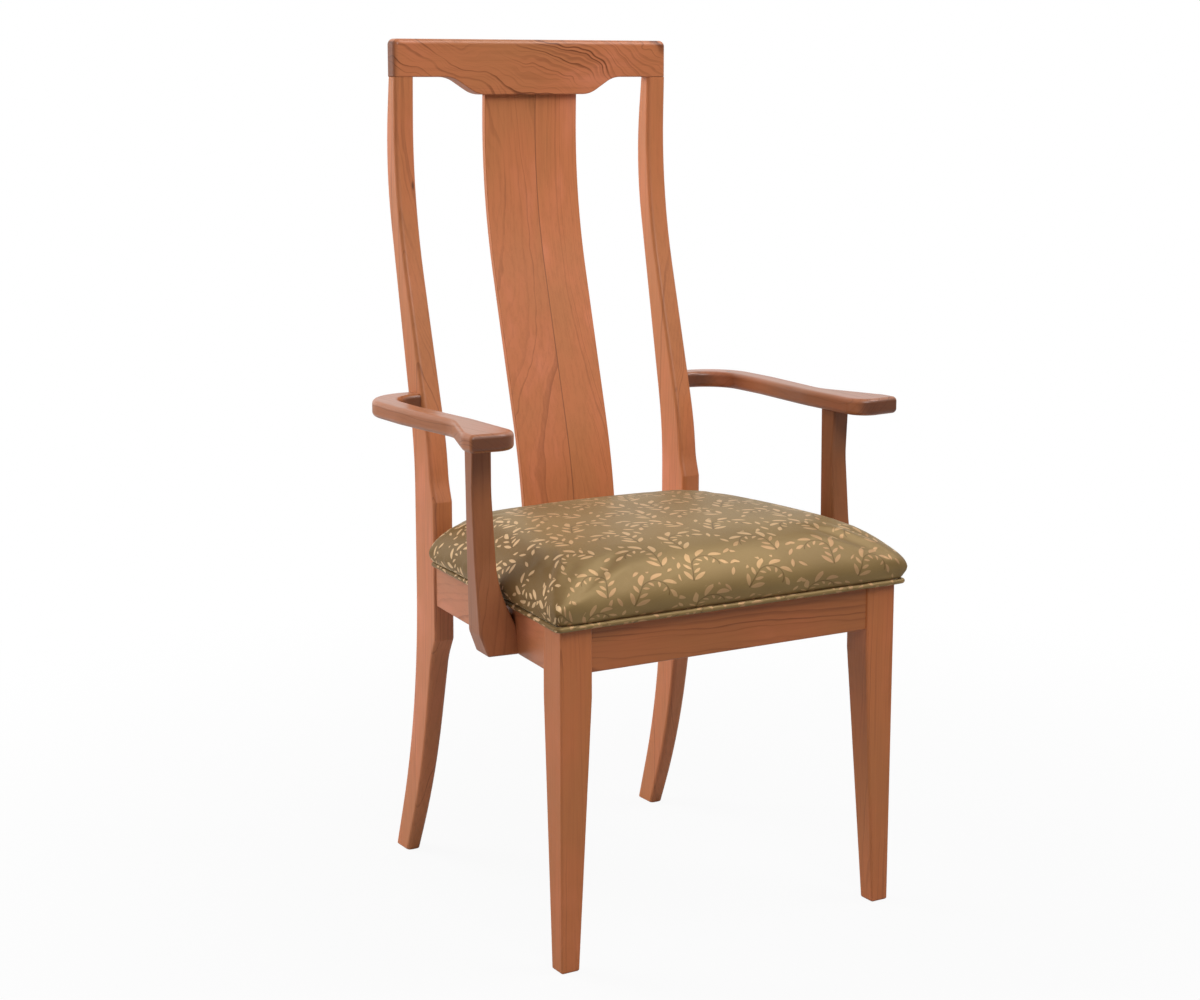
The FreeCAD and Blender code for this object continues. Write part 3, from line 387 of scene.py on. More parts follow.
# Shades, gloss and relief
TAN_RISE, ROSE_RISE = (0.30, 0.70), (0.55, 0.80)
FIBRE_SHADE, STREAK_SHADE, STREAK_LEVEL = 0.28, 0.55, 0.46
END_RISE, END_SHADE = (0.55, 0.98), 0.8
GUM_SIZE, GUM_LOT, GUM_SHADE = (0.05, 0.12), 0.93, 0.75
GLUE_WIDTH, GLUE_SHADE = (0.0002, 0.0011), 0.55
WOOD_ROUGHNESS, FIBRE_ROUGHNESS, LINE_ROUGHNESS = 0.36, 0.14, 0.06
WOOD_BUMP, WOOD_DEPTH, STREAK_DEPTH = 0.10, 0.0003, 0.3
WOOD_SPECULAR, WOOD_POLISH, POLISH_ROUGHNESS = 0.38, 0.02, 0.25
print("salmon ground:", [round(v, 3) for v in CHERRY[:3]])

# %% [markdown]
# A flat brown with a noise over it reads as plastic, because real rings are sheets wrapped round
# the heart of a tree, and a board cuts through them. So each piece here has its own heart, a
# line along the grain beside the piece, and the rings are distances from it. A little slope of
# that line gives the pointed figure on flat faces, and the same sum carries round the edges and
# into the end grain for free. Each ring is one year, and only a few dry years draw a strong
# line.

# %% Define the wood
def relief(start, strength, depth, height):
    """A bump of so many metres, for a shader's normal."""
    return start.add("ShaderNodeBump", None,
                     {"Strength": strength, "Distance": depth, "Height": height})


def gum_flecks(start, across, beside, along):
    """Small dark flecks, in a few of the cells that the wood is cut into."""
    wide, long = GUM_CELLS
    cells = {"Vector": start.joined(across * wide, beside * wide, along * long), "Scale": 1.0}
    spot = start.add("ShaderNodeTexVoronoi", None, cells, out="Distance")
    lot = start.add("ShaderNodeTexVoronoi", None, cells, out="Color").parts()[0]
    return (1 - spot.step(*GUM_SIZE)) * (lot > GUM_LOT)


def cherry(name, grain, heart, slope, warp, wave, pitch, figure, tone, glue=None,
           tint=PLAIN, polish=WOOD_POLISH):
    """Cherry with its grain along an axis.

    The rings lie round a heart at two places across the grain, which leans by a slope and
    wanders by a warp, in so many waves to the metre. They are a pitch apart, and their lines
    show by the figure. The tone makes the whole board lighter or darker, the tint turns its
    colour, and glue is where across the grain a glued edge shows as a thin dark line.
    """
    material, start, shader = new_material(f"cherry_{name}")
    place = start.add("ShaderNodeTexCoord", out="Object").parts()
    across, beside, along = (place[axis] for axis in GRAIN_AXES[grain])
    own = sum(heart) * BOARD_SHIFT

    def stretched(wide, long, detail=2.0, roughness=0.5):
        """Noise in cells that are drawn out along the grain."""
        cells = start.joined(across * wide, beside * wide, along * long + own)
        return cells.noise(1.0, detail, roughness)

    ripples = (stretched(*RIPPLES) - 0.5) * RIPPLE_SIZE
    wander = (stretched(WARP_CELLS, wave, WARP_DETAIL) - 0.5) * warp + ripples
    reach = ((across - heart[0]) ** 2 + (beside - heart[1]) ** 2) ** 0.5
    ring = (reach + along * slope + wander) / pitch
    uneven = ring + start.joined(ring * DRIFT_CELLS, own, 0.0).noise(1.0) * DRIFT_YEARS
    turn = uneven.apply("FRACT")
    line = turn.step(*LATE_WOOD) * (1 - turn.step(LATE_WOOD[1], 1.0))
    year = {"W": uneven.apply("FLOOR") + own}
    dry = start.add("ShaderNodeTexWhiteNoise", {"noise_dimensions": "1D"}, year, out="Value")
    strength = stretched(*PATCHES).step(*PATCH_RISE) * (FAINT_YEAR + dry ** 3 * (1 - FAINT_YEAR))
    drawn = line * strength

    fibre, streak, cloud = stretched(*FIBRES), stretched(*STREAKS), stretched(*CLOUDS)
    warm = cloud.step(*ROSE_RISE).mix(CHERRY, CHERRY_ROSE)
    ground = cloud.step(*TAN_RISE).mix(CHERRY_TAN, warm)
    threads = (fibre - 0.5) * FIBRE_SHADE + (streak - STREAK_LEVEL) * STREAK_SHADE
    lined = (drawn * figure + threads).apply("MAXIMUM", 0.0).mix(ground, CHERRY_LINE)
    facing = start.add("ShaderNodeNewGeometry", out="Normal").parts()[GRAIN_AXES[grain][2]]
    ended = (abs(facing).step(*END_RISE) * END_SHADE).mix(lined, CHERRY_END)
    colour = (gum_flecks(start, across, beside, along) * GUM_SHADE).mix(ended, GUM)
    if glue is not None:
        bare = abs(across - glue).step(*GLUE_WIDTH) * GLUE_SHADE
        colour = (GLUE_SHADE - bare).mix(colour, GUM)
    board = {0: colour, 1: [tone * share for share in tint]}
    toned = start.add("ShaderNodeVectorMath", {"operation": "MULTIPLY"}, board)
    rough = WOOD_ROUGHNESS + (fibre - 0.5) * FIBRE_ROUGHNESS + drawn * LINE_ROUGHNESS
    bump = relief(start, WOOD_BUMP, WOOD_DEPTH, fibre + streak * STREAK_DEPTH)
    plug(shader, Base_Color=toned, Roughness=rough, Normal=bump,
         Specular_IOR_Level=WOOD_SPECULAR, Coat_Weight=polish, Coat_Roughness=POLISH_ROUGHNESS)
    return material


print("late wood of a year:", LATE_WOOD)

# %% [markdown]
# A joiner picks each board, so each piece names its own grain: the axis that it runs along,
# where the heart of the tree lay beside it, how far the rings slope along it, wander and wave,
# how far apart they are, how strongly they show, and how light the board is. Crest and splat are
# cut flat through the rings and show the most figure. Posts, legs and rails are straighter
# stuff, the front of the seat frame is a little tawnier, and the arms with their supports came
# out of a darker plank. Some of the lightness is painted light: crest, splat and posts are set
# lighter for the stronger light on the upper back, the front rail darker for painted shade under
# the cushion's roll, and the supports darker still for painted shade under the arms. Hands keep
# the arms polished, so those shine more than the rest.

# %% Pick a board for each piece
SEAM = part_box("splat_board_left")[1].x
# Piece: grain, heart, slope, warp, wave, pitch, figure, tone, and the glued edge of the splat
BOARDS = {
    # Crest, splat and posts are set lighter: painted light for the stronger light on the upper
    # back.
    "crest_rail": ("X", (0.262, 0.930), 0.34, 0.105, 7.0, 0.0065, 2.10, 1.12),
    "splat_board_left": ("Z", (-0.105, 0.330), 0.120, 0.036, 4.0, 0.0050, 0.55, 1.22, SEAM),
    "splat_board_right": ("Z", (0.160, 0.250), 0.020, 0.012, 2.4, 0.0036, 0.45, 1.26, SEAM),
    "back_post_left": ("Z", (-0.290, 0.100), 0.020, 0.026, 2.6, 0.0042, 0.60, 1.16),
    "back_post_right": ("Z", (0.300, 0.080), 0.020, 0.026, 2.6, 0.0042, 0.60, 1.20),
    "front_leg_left": ("Z", (-0.310, -0.330), 0.010, 0.016, 2.4, 0.0042, 0.45, 1.02),
    "front_leg_right": ("Z", (0.330, -0.310), 0.012, 0.016, 2.4, 0.0042, 0.45, 1.02),
    # The front rail's low tone is partly painted shade under the cushion's roll.
    "front_seat_rail": ("X", (-0.150, 0.330), 0.022, 0.014, 3.0, 0.0042, 0.95, 0.86),
    "back_seat_rail": ("X", (0.240, 0.330), 0.016, 0.018, 2.4, 0.0050, 0.50, 1.00),
    "side_seat_rail_left": ("Y", (-0.330, 0.340), 0.014, 0.018, 2.4, 0.0050, 0.50, 1.00),
    "side_seat_rail_right": ("Y", (0.330, 0.350), 0.014, 0.018, 2.4, 0.0050, 0.50, 1.00),
    "arm_left": ("Y", (-0.340, 0.560), 0.040, 0.034, 3.6, 0.0050, 0.90, 0.84),
    "arm_right": ("Y", (0.350, 0.560), 0.038, 0.034, 3.6, 0.0050, 0.90, 0.80),
    # The supports' low tones are partly a darker plank and partly painted shade under the arms.
    "arm_support_left": ("Z", (-0.330, -0.020), 0.014, 0.018, 2.4, 0.0044, 0.60, 0.68),
    "arm_support_right": ("Z", (0.340, -0.030), 0.014, 0.018, 2.4, 0.0044, 0.60, 0.66),
}
TAWNY = (1.03, 0.95, 0.76)
TAWNY_PIECES = ("front_leg_left", "front_leg_right", "front_seat_rail")
HAND_POLISH = 0.24
HANDLED_PIECES = ("arm_left", "arm_right")


def dress(node, material):
    """Give a CAD node its material."""
    for place in nodes[node].material_slots:
        place.material = material


for node, board in BOARDS.items():
    tint = TAWNY if node in TAWNY_PIECES else PLAIN
    polish = HAND_POLISH if node in HANDLED_PIECES else WOOD_POLISH
    dress(node, cherry(node, *board, tint=tint, polish=polish))
print("boards of cherry:", len(BOARDS))

# %% [markdown]
# ## What is inside
#
# Under the seat there are glued corner blocks, a plywood board and screws. They only show from
# below, but someone who turns the chair over sees bare, unfinished wood there, paler and duller
# than the frame, and zinc on the screws.

# %% Make the bare wood and the zinc
BARE = paint(206, 172, 126)
BARE_LINE = paint(176, 137, 92)
BARE_CELLS = (30, 320)
BARE_RISE, BARE_SHADE = (0.35, 0.7), 0.7
BARE_ROUGHNESS, BARE_BUMP, BARE_DEPTH = 0.62, 0.2, 0.0005
PLIES_PER_METRE = 420
PLY_RISE, PLY_SHADE = (0.35, 0.65), 0.15
ZINC_LIGHT = paint(190, 190, 182)
ZINC_DARK = paint(150, 150, 146)
ZINC_CELLS = 900.0
ZINC_ROUGHNESS = 0.28
ROUGHNESS_SPREAD = 0.2


def bare_wood():
    material, start, shader = new_material("bare_wood")
    across, beside, along = start.add("ShaderNodeTexCoord", out="Object").parts()
    long, wide = BARE_CELLS
    grain = start.joined(across * long, beside * wide, along * wide).noise(1.0, 3.0, 0.6)
    plies = (along * PLIES_PER_METRE).apply("FRACT").step(*PLY_RISE)
    colour = (grain.step(*BARE_RISE) * BARE_SHADE + plies * PLY_SHADE).mix(BARE, BARE_LINE)
    plug(shader, Base_Color=colour, Roughness=BARE_ROUGHNESS + grain * ROUGHNESS_SPREAD,
         Normal=relief(start, BARE_BUMP, BARE_DEPTH, grain))
    return material


def zinc():
    material, start, shader = new_material("zinc")
    spread = start.add("ShaderNodeTexCoord", out="Object").noise(ZINC_CELLS, 3.0)
    plug(shader, Base_Color=spread.mix(ZINC_LIGHT, ZINC_DARK), Metallic=1,
         Roughness=ZINC_ROUGHNESS + spread * ROUGHNESS_SPREAD)
    return material


inner = {"inner_wood": bare_wood(), "screw_steel": zinc()}
inner_parts = [part for part in frame["record"]["subparts"] if part["material_slot"] in inner]
for part in inner_parts:
    dress(part["node"], inner[part["material_slot"]])
print("bare wood and zinc on", len(inner_parts), "nodes")

# %% [markdown]
# ## The woven cloth
#
# The seat is covered in a satin weave: an olive ground that shines in bands, and leaf sprigs in
# gold thread. The sprigs could be painted as an image, but the cloth has to carry on over the
# front roll and round the corners at its own scale. So the cushion is given cloth coordinates,
# in metres along the weft and the warp, and the sprigs are drawn in those by a sum. It starts
# with one leaf, pointed at both ends.

# %% Draw one leaf
LEAF_STALK = 0.0024
LEAF_BELLY = 0.75
LEAF_EDGE = (-0.0002, 0.0004)


def sine_cosine(turn):
    """Sine and cosine of a wire or of a number."""
    if isinstance(turn, Wire):
        return turn.apply("SINE"), turn.apply("COSINE")
    return math.sin(turn), math.cos(turn)


def leaf(sideways, upward, turn, length, width):
    """A leaf that starts at the origin and leans by a turn from upright."""
    sine, cosine = sine_cosine(turn)
    along = (sideways * sine + upward * cosine - LEAF_STALK) / length
    aside = abs(sideways * cosine - upward * sine)
    belly = (along * (1 - along) * 4).apply("MAXIMUM", 0.0) ** LEAF_BELLY
    return (belly * width / 2 - aside).step(*LEAF_EDGE)


print("soft edge of a leaf:", LEAF_EDGE)

# %% [markdown]
# A tendril is a straight stem that rises from a pair of large leaves and curls over like a
# shepherd's crook, with leaves by turns on either side. A sum for each leaf would be long, but
# going round the crook by angle draws all of its leaves with one, and lets them get smaller
# towards its end. The tendril also says how much room it leaves, so that nothing else is drawn
# on top of it.

# %% Curl a tendril
CURL = 0.0195
CURL_END = 3.0
CURL_EDGE = 0.06
LEAF_ANGLE = 0.80
ROOT_DROP = 0.028
ROOT_MIDDLE = 0.6
STEM_HALF_WIDTH = 0.0008
STEM_EDGE = (STEM_HALF_WIDTH * 0.5, STEM_HALF_WIDTH * 1.5)
CURL_ROOM, ROOT_ROOM = (0.033, 0.036), (0.021, 0.023)
FIRST_LEAF, LEAF_SHRINK = 1.10, 0.09
# On the crook: shift along it, lean, length and width
OUTER_LEAF = (0.005, 0.75, 0.0185, 0.0062)
INNER_LEAF = (0.003, 0.80, 0.0115, 0.0048)
# On the stem: drop below the crook, lean, length and width
STEM_LEAVES = ((ROOT_DROP, -0.80, 0.021, 0.0066), (ROOT_DROP, 0.62, 0.019, 0.0062),
               (0.016, -0.75, 0.013, 0.0048), (0.009, 0.80, 0.014, 0.0050))


def crook_leaf(beside, out, young, shift, lean, length, width):
    return leaf(beside + shift, out, lean, young * length, young * width)


def tendril(sideways, upward):
    """One crook that curls about the origin: its leaves, its stem, and the room it leaves."""
    far = (sideways ** 2 + upward ** 2) ** 0.5
    angle = upward.apply("ARCTAN2", sideways)
    curl = angle.step(0.0, CURL_EDGE) * (1 - angle.step(CURL_END, CURL_END + CURL_EDGE))
    out = far - CURL
    young = FIRST_LEAF - angle * LEAF_SHRINK
    count = angle / LEAF_ANGLE
    outer_beside = (angle - (count.apply("FLOOR") + 0.5) * LEAF_ANGLE) * CURL
    inner_beside = (angle - count.apply("ROUND") * LEAF_ANGLE) * CURL
    outer = crook_leaf(outer_beside, out, young, *OUTER_LEAF)
    inner = crook_leaf(inner_beside, -out, young, *INNER_LEAF)
    leaves = outer.apply("MAXIMUM", inner) * curl
    below = sideways - CURL
    for drop, lean, length, width in STEM_LEAVES:
        low = leaf(below, upward + drop, lean, length, width)
        leaves = leaves.apply("MAXIMUM", low)
    rise = (upward < 0) * (upward > -ROOT_DROP)
    bare = abs(out).step(*STEM_EDGE) * curl + abs(below).step(*STEM_EDGE) * rise
    stem = curl.apply("MAXIMUM", rise) - bare
    root = (below ** 2 + (upward + ROOT_DROP * ROOT_MIDDLE) ** 2) ** 0.5
    return leaves, stem, far.step(*CURL_ROOM) * root.step(*ROOT_ROOM)


print("width of a crook:", 2 * CURL, "m")

# %% [markdown]
# On the cloth the tendrils repeat, but no two look quite alike. A plain lattice would show as a
# grid, so each column lies half a cell below the last, and the tendril in each cell leans,
# shifts and turns left or right by lot. Single leaves are strewn in what room is left.

# %% Strew the sprigs
SPRIG_WIDTH = 0.082
SPRIG_HEIGHT = 0.070
SPRIG_MIDDLE = 0.46
SPRIG_SHIFT = (0.006, 0.004)
SPRIG_LEAN, UPRIGHT_LOT = 0.9, 0.25
STRAY_PITCH = 0.0225
STRAY_SHIFT, STRAY_LEFT, STRAY_FOOT = 0.24, 0.38, 0.25
STRAY_TURN, STRAY_LENGTH, STRAY_WIDTH = 2.6, 0.0145, 0.0052
STRAY_LOT = 0.12


def lots_of(start, column, row):
    """Three numbers between 0 and 1, drawn for one cell of the cloth."""
    cell = {"Vector": start.joined(column, row, 0.0)}
    drawn = start.add("ShaderNodeTexWhiteNoise", {"noise_dimensions": "2D"}, cell, out="Color")
    return drawn.parts()


def stray_leaves(start, weft, warp):
    """Single leaves, one to a cell of a fine lattice."""
    column, row = (weft / STRAY_PITCH).apply("FLOOR"), (warp / STRAY_PITCH).apply("FLOOR")
    lots = lots_of(start, column, row)
    aside = weft - (column + STRAY_LEFT + lots[1] * STRAY_SHIFT) * STRAY_PITCH
    above = warp - (row + STRAY_FOOT) * STRAY_PITCH
    turn = (lots[0] - 0.5) * STRAY_TURN
    return leaf(aside, above, turn, STRAY_LENGTH, STRAY_WIDTH) * (lots[2] > STRAY_LOT)


def sprigs(start, weft, warp):
    """Leaves and stems of the cloth, as two masks."""
    column = (weft / SPRIG_WIDTH).apply("FLOOR")
    climbed = warp + column * (SPRIG_HEIGHT / 2)
    row = (climbed / SPRIG_HEIGHT).apply("FLOOR")
    lots = lots_of(start, column, row)
    hand = 1 - (lots[0] > 0.5) * 2
    aside = (weft - (column + 0.5) * SPRIG_WIDTH) * hand + (lots[1] - 0.5) * SPRIG_SHIFT[0]
    above = climbed - (row + SPRIG_MIDDLE) * SPRIG_HEIGHT + (lots[2] - 0.5) * SPRIG_SHIFT[1]
    sine, cosine = sine_cosine((lots[1] - UPRIGHT_LOT) * SPRIG_LEAN)
    leaves, stems, room = tendril(aside * cosine + above * sine, above * cosine - aside * sine)
    return leaves.apply("MAXIMUM", stray_leaves(start, weft, warp) * room), stems


print("a sprig's cell:", SPRIG_WIDTH, "by", SPRIG_HEIGHT, "m")

# %% [markdown]
# Satin shines because its long floats lie one way, so the ground is a smooth, slightly sheened
# surface with fine weft lines, and the leaves float the other way and catch the light apart from
# it. Painted light is added to the colour by which way the surface faces: a painted sheen makes
# the leaves palest on the flanks, paler on the top and dull on the front roll, and painted shade
# makes the ground deepest on the flanks. The ground's floats lie across theirs,
# so on the flanks the ground is at its deepest.

# %% Dye the threads
OLIVE = paint(135, 110, 68)
OLIVE_SHADE = paint(120, 96, 59)
# The deep olive is painted shade for the flanks, and the pale leaf colour is a painted sheen for
# the flanks and top.
OLIVE_PAINTED_SHADE = paint(110, 83, 46)
LEAF_GOLD = paint(186, 148, 104)
LEAF_ROSE = paint(170, 130, 93)
LEAF_PAINTED_SHEEN = paint(232, 196, 150)
STEM_BROWN = paint(86, 60, 33)
FLANK_SLOPE, FLANK_PAINTED_LIGHT = (0.10, 0.55), 0.8
TOP_SLOPE, TOP_SHINE = (0.88, 0.99), 0.55
BAND_RISE, BAND_SHADE, THREAD_SHADE = (0.25, 0.75), 0.7, 0.5
ROSY_RISE = (0.3, 0.7)
STEM_COVER = 0.65
LEAF_COVER, THREAD_COVER = 0.84, 0.4


def thread_colour(start, leaves, stems, shade, uneven):
    """The colour of the cloth, from its masks, its bands of shade and its uneven threads, with a
    painted sheen on the leaves and painted shade on the ground, set by which way the surface
    faces.
    """
    across, _, up = start.add("ShaderNodeTexCoord", out="Normal").parts()
    # Painted light by surface facing: painted sheen on the leaves of the flanks and top, painted
    # shade on the ground of the flanks.
    flank_sheen_and_shade = abs(across).step(*FLANK_SLOPE) * FLANK_PAINTED_LIGHT
    shine = flank_sheen_and_shade + up.step(*TOP_SLOPE) * TOP_SHINE
    banded = shade.step(*BAND_RISE) * BAND_SHADE + uneven * THREAD_SHADE
    ground = flank_sheen_and_shade.mix(banded.mix(OLIVE, OLIVE_SHADE), OLIVE_PAINTED_SHADE)
    floats = shine.mix(shade.step(*ROSY_RISE).mix(LEAF_GOLD, LEAF_ROSE), LEAF_PAINTED_SHEEN)
    stemmed = (stems * STEM_COVER).mix(ground, STEM_BROWN)
    return (leaves * (LEAF_COVER + uneven * THREAD_COVER)).mix(stemmed, floats)


print("olive ground:", [round(v, 3) for v in OLIVE[:3]])

# %% [markdown]
# Colour, gloss and a small relief all follow the same leaf mask, which keeps thread, shine and
# height together. The welt is wrapped in the same cloth, cut at 45 degrees to its threads.

# %% Weave the cloth
THREAD_CELLS = (160, 1500)
BAND_CELLS = 9
WEFT_PITCH = 0.0011
LEAF_HEIGHT, STEM_HEIGHT, RIB_HEIGHT, THREAD_HEIGHT = 0.8, 0.3, 0.12, 0.25
CLOTH_BUMP, CLOTH_DEPTH = 0.30, 0.0005
SATIN_ROUGHNESS, LEAF_GLOSS, THREAD_ROUGHNESS = 0.48, 0.06, 0.10
GROUND_METAL, LEAF_METAL = 0.20, 0.14
SATIN_SPECULAR, SATIN_TINT = 0.50, (1.0, 0.87, 0.62, 1)
SHEEN, SHEEN_ROUGHNESS, SHEEN_TINT = 0.50, 0.22, (1.0, 0.82, 0.52, 1)
BIAS = math.pi / 4


def satin(name, tilt=0.0):
    """The woven cloth, its pattern turned by a tilt in radians."""
    material, start, shader = new_material(name)
    weft, warp, _ = start.add("ShaderNodeUVMap", {"uv_map": "cloth"}).parts()
    if tilt:
        sine, cosine = sine_cosine(tilt)
        weft, warp = weft * cosine - warp * sine, weft * sine + warp * cosine
    leaves, stems = sprigs(start, weft, warp)
    cells = start.joined(weft * THREAD_CELLS[0], warp * THREAD_CELLS[1], 0.0)
    threads = cells.noise(1.0, 2.0, 0.6)
    uneven = threads - 0.5
    shade = start.joined(weft * BAND_CELLS, warp * BAND_CELLS, 0.0).noise(1.0)
    rib = (warp * (2 * math.pi / WEFT_PITCH)).apply("SINE")
    raised = leaves * LEAF_HEIGHT + stems * STEM_HEIGHT
    height = raised + rib * RIB_HEIGHT + threads * THREAD_HEIGHT
    plug(shader, Base_Color=thread_colour(start, leaves, stems, shade, uneven),
         Roughness=SATIN_ROUGHNESS - leaves * LEAF_GLOSS + uneven * THREAD_ROUGHNESS,
         Metallic=GROUND_METAL + leaves * LEAF_METAL,
         Normal=relief(start, CLOTH_BUMP, CLOTH_DEPTH, height),
         Specular_IOR_Level=SATIN_SPECULAR, Specular_Tint=SATIN_TINT,
         Sheen_Weight=SHEEN, Sheen_Roughness=SHEEN_ROUGHNESS, Sheen_Tint=SHEEN_TINT)
    return material


seat_cloth = satin("seat_satin")
welt_cloth = satin("welt_satin", tilt=BIAS)
print("cloth nodes:", len(seat_cloth.node_tree.nodes))

# %% [markdown]
# ## The plan of the seat
#
# The cushion, its welt and the dust cover all follow one outline: the seat frame's trapezoid,
# wide in front and narrow behind, with rounded corners. Its four sides are read from the legs
# and posts of the frame, so the soft pieces fit whatever chair is loaded. `plan` walks round
# that outline at any reach from it.

# %% Read the outline from the frame
POST_GAP = 0.0065
HALF_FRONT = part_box("front_leg_right")[1].x
HALF_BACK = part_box("back_post_right")[1].x
FRONT_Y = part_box("front_leg_left")[0].y
REAR_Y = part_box("back_post_left")[0].y - POST_GAP
RAIL_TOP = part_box("front_seat_rail")[1].z
SPLAY = math.atan((HALF_FRONT - HALF_BACK) / (REAR_Y - FRONT_Y))
SIDE_STEPS = 24
ARC_STEPS = 10


def turned(spot, turn):
    sine, cosine = math.sin(turn), math.cos(turn)
    return Vector((spot.x * cosine - spot.y * sine, spot.x * sine + spot.y * cosine))


def plan(reach, radius, rear_reach=None):
    """Points of the seat's outline, moved outward by a reach.

    They start at the front left corner and go along the front to the right.
    """
    front, rear = FRONT_Y - reach, REAR_Y + (reach if rear_reach is None else rear_reach)
    slope = math.tan(SPLAY)

    def half(y):
        return HALF_FRONT + reach - (y - FRONT_Y) * slope

    corners = [Vector((-half(front), front)), Vector((half(front), front)),
               Vector((half(rear), rear)), Vector((-half(rear), rear))]
    points = []
    for index, corner in enumerate(corners):
        end, beyond = corners[(index + 1) % 4], corners[(index + 2) % 4]
        back, ahead = (corners[index - 1] - corner).normalized(), (end - corner).normalized()
        opening = back.angle(ahead) / 2
        run = radius / math.tan(opening)
        centre = corner + (back + ahead).normalized() * (radius / math.sin(opening))
        first, last = corner + back * run - centre, corner + ahead * run - centre
        sweep = first.angle_signed(last)
        points += [centre + turned(first, -sweep * step / ARC_STEPS)
                   for step in range(ARC_STEPS + 1)]
        following = (beyond - end).normalized()
        stop = end - ahead * (radius / math.tan((-ahead).angle(following) / 2))
        leave = corner + ahead * run
        points += [leave.lerp(stop, step / SIDE_STEPS) for step in range(1, SIDE_STEPS)]
    return points


print("seat outline:", len(plan(0, 0.02)), "points, splay",
      round(math.degrees(SPLAY), 2), "degrees")

# %% [markdown]
# ## The cushion
#
# It is foam on a board under a tight cover: sides that swell out over the welt, a rolled front
# and a low crown. A box with rounded edges would look stamped. The usual way is to start from a
# slightly lean pad and let cloth swell it, as foam does. The lean pad is a stack of outlines:
# its profile says how far each one reaches out of the seat and how high it lies. The corners sit
# a little lower, because there the cover is pulled down hardest.

# %% Build the lean pad
PAD_PROFILE = [(0.001, 0.0005), (0.001, 0.006), (0.0085, 0.0085), (0.0150, 0.013),
               (0.0180, 0.021), (0.0155, 0.034), (0.004, 0.051), (-0.018, 0.0665),
               (-0.058, 0.0755), (-0.112, 0.079)]
PAD_CORNER = 0.008
CORNER_PER_HEIGHT = 0.25
CORNER_PER_INSET = 0.45
CORNER_DROOP = 0.16
DROOP_REACH = 0.055
REAR_SHARE = 0.50
RINGS_PER_SPAN = 4


def smooth_profile(points, steps):
    """Points on a smooth line through the given ones."""
    line = []
    for index in range(len(points) - 1):
        before, here = Vector(points[max(index - 1, 0)]), Vector(points[index])
        there, after = Vector(points[index + 1]), Vector(points[min(index + 2, len(points) - 1)])
        rise = there - before
        bend = 2 * before - 5 * here + 4 * there - after
        twist = 3 * here - before - 3 * there + after
        for step in range(steps):
            t = step / steps
            line.append(0.5 * (2 * here + rise * t + bend * t ** 2 + twist * t ** 3))
    return [*line, Vector(points[-1])]


def new_piece(name, form):
    """Turn a bmesh into an object of the scene, with its faces outward."""
    bmesh.ops.recalc_face_normals(form, faces=form.faces)
    mesh = bpy.data.meshes.new(name)
    form.to_mesh(mesh)
    form.free()
    piece = bpy.data.objects.new(name, mesh)
    bpy.context.scene.collection.objects.link(piece)
    return piece


def lean_pad():
    form = bmesh.new()
    rings = []
    tips = [Vector((side * half, y)) for side in (-1, 1)
            for half, y in ((HALF_FRONT, FRONT_Y), (HALF_BACK, REAR_Y))]
    for reach, height in smooth_profile(PAD_PROFILE, RINGS_PER_SPAN):
        corner = PAD_CORNER + height * CORNER_PER_HEIGHT + max(0, -reach) * CORNER_PER_INSET
        rear = reach * REAR_SHARE if reach > 0 else reach
        ring = []
        for point in plan(reach, corner, rear):
            near = math.exp(-min((point - tip).length for tip in tips) / DROOP_REACH)
            drooped = height * (1 - CORNER_DROOP * near)
            ring.append(form.verts.new((*point, RAIL_TOP + drooped)))
        rings.append(ring)
    for lower, upper in zip(rings, rings[1:]):
        for index in range(len(lower)):
            after = (index + 1) % len(lower)
            form.faces.new((lower[index], lower[after], upper[after], upper[index]))
    form.faces.new(rings[0][::-1])
    form.faces.new(rings[-1])
    return new_piece("cushion", form)


cushion = lean_pad()
print("lean pad:", len(cushion.data.vertices), "points in rings")

# %% [markdown]
# Cloth swells evenly only where its mesh is even, and the stack of rings has long, thin faces.
# Subdividing would keep them long and thin, so the pad is remeshed into little squares of one
# size, and the small steps that this leaves are relaxed.

# %% Make its mesh even
VOXEL = 0.0055
RELAX_SHARE = 0.5


def take_shape(piece):
    """Replace a piece's mesh by what its modifiers make of it, and drop the modifiers."""
    shown = piece.evaluated_get(bpy.context.evaluated_depsgraph_get())
    made = bpy.data.meshes.new_from_object(shown)
    piece.modifiers.clear()
    piece.data = made


def relax(piece, rounds):
    """Even out small steps."""
    form = bmesh.new()
    form.from_mesh(piece.data)
    for _ in range(rounds):
        bmesh.ops.smooth_vert(form, verts=form.verts, factor=RELAX_SHARE,
                              use_axis_x=True, use_axis_y=True, use_axis_z=True)
    form.to_mesh(piece.data)
    form.free()


remesh = cushion.modifiers.new("even", "REMESH")
remesh.mode = "VOXEL"
remesh.voxel_size = VOXEL
take_shape(cushion)
relax(cushion, rounds=3)
print("even pad:", len(cushion.data.vertices), "points")

# %% [markdown]
# The swelling itself is twenty frames of cloth with gravity off. The foot of the pad is pinned,
# the way staples hold the real cover under its board, and a small pressure inside stretches the
# cover until it is taut. Afterwards every point is drawn back to within a cap, so the pad stays
# inside the arms' supports, and the cloth is removed: what stays is a plain mesh.

# %% Swell it
PRESSURE = 4
SWELL_FRAMES = 20
SWELL_CAP = 0.0055
FOOT_HEIGHT = 0.009
COVER_QUALITY = 6
COVER_MASS = 0.3
COVER_STIFFNESS = 18
COVER_BENDING = 0.8


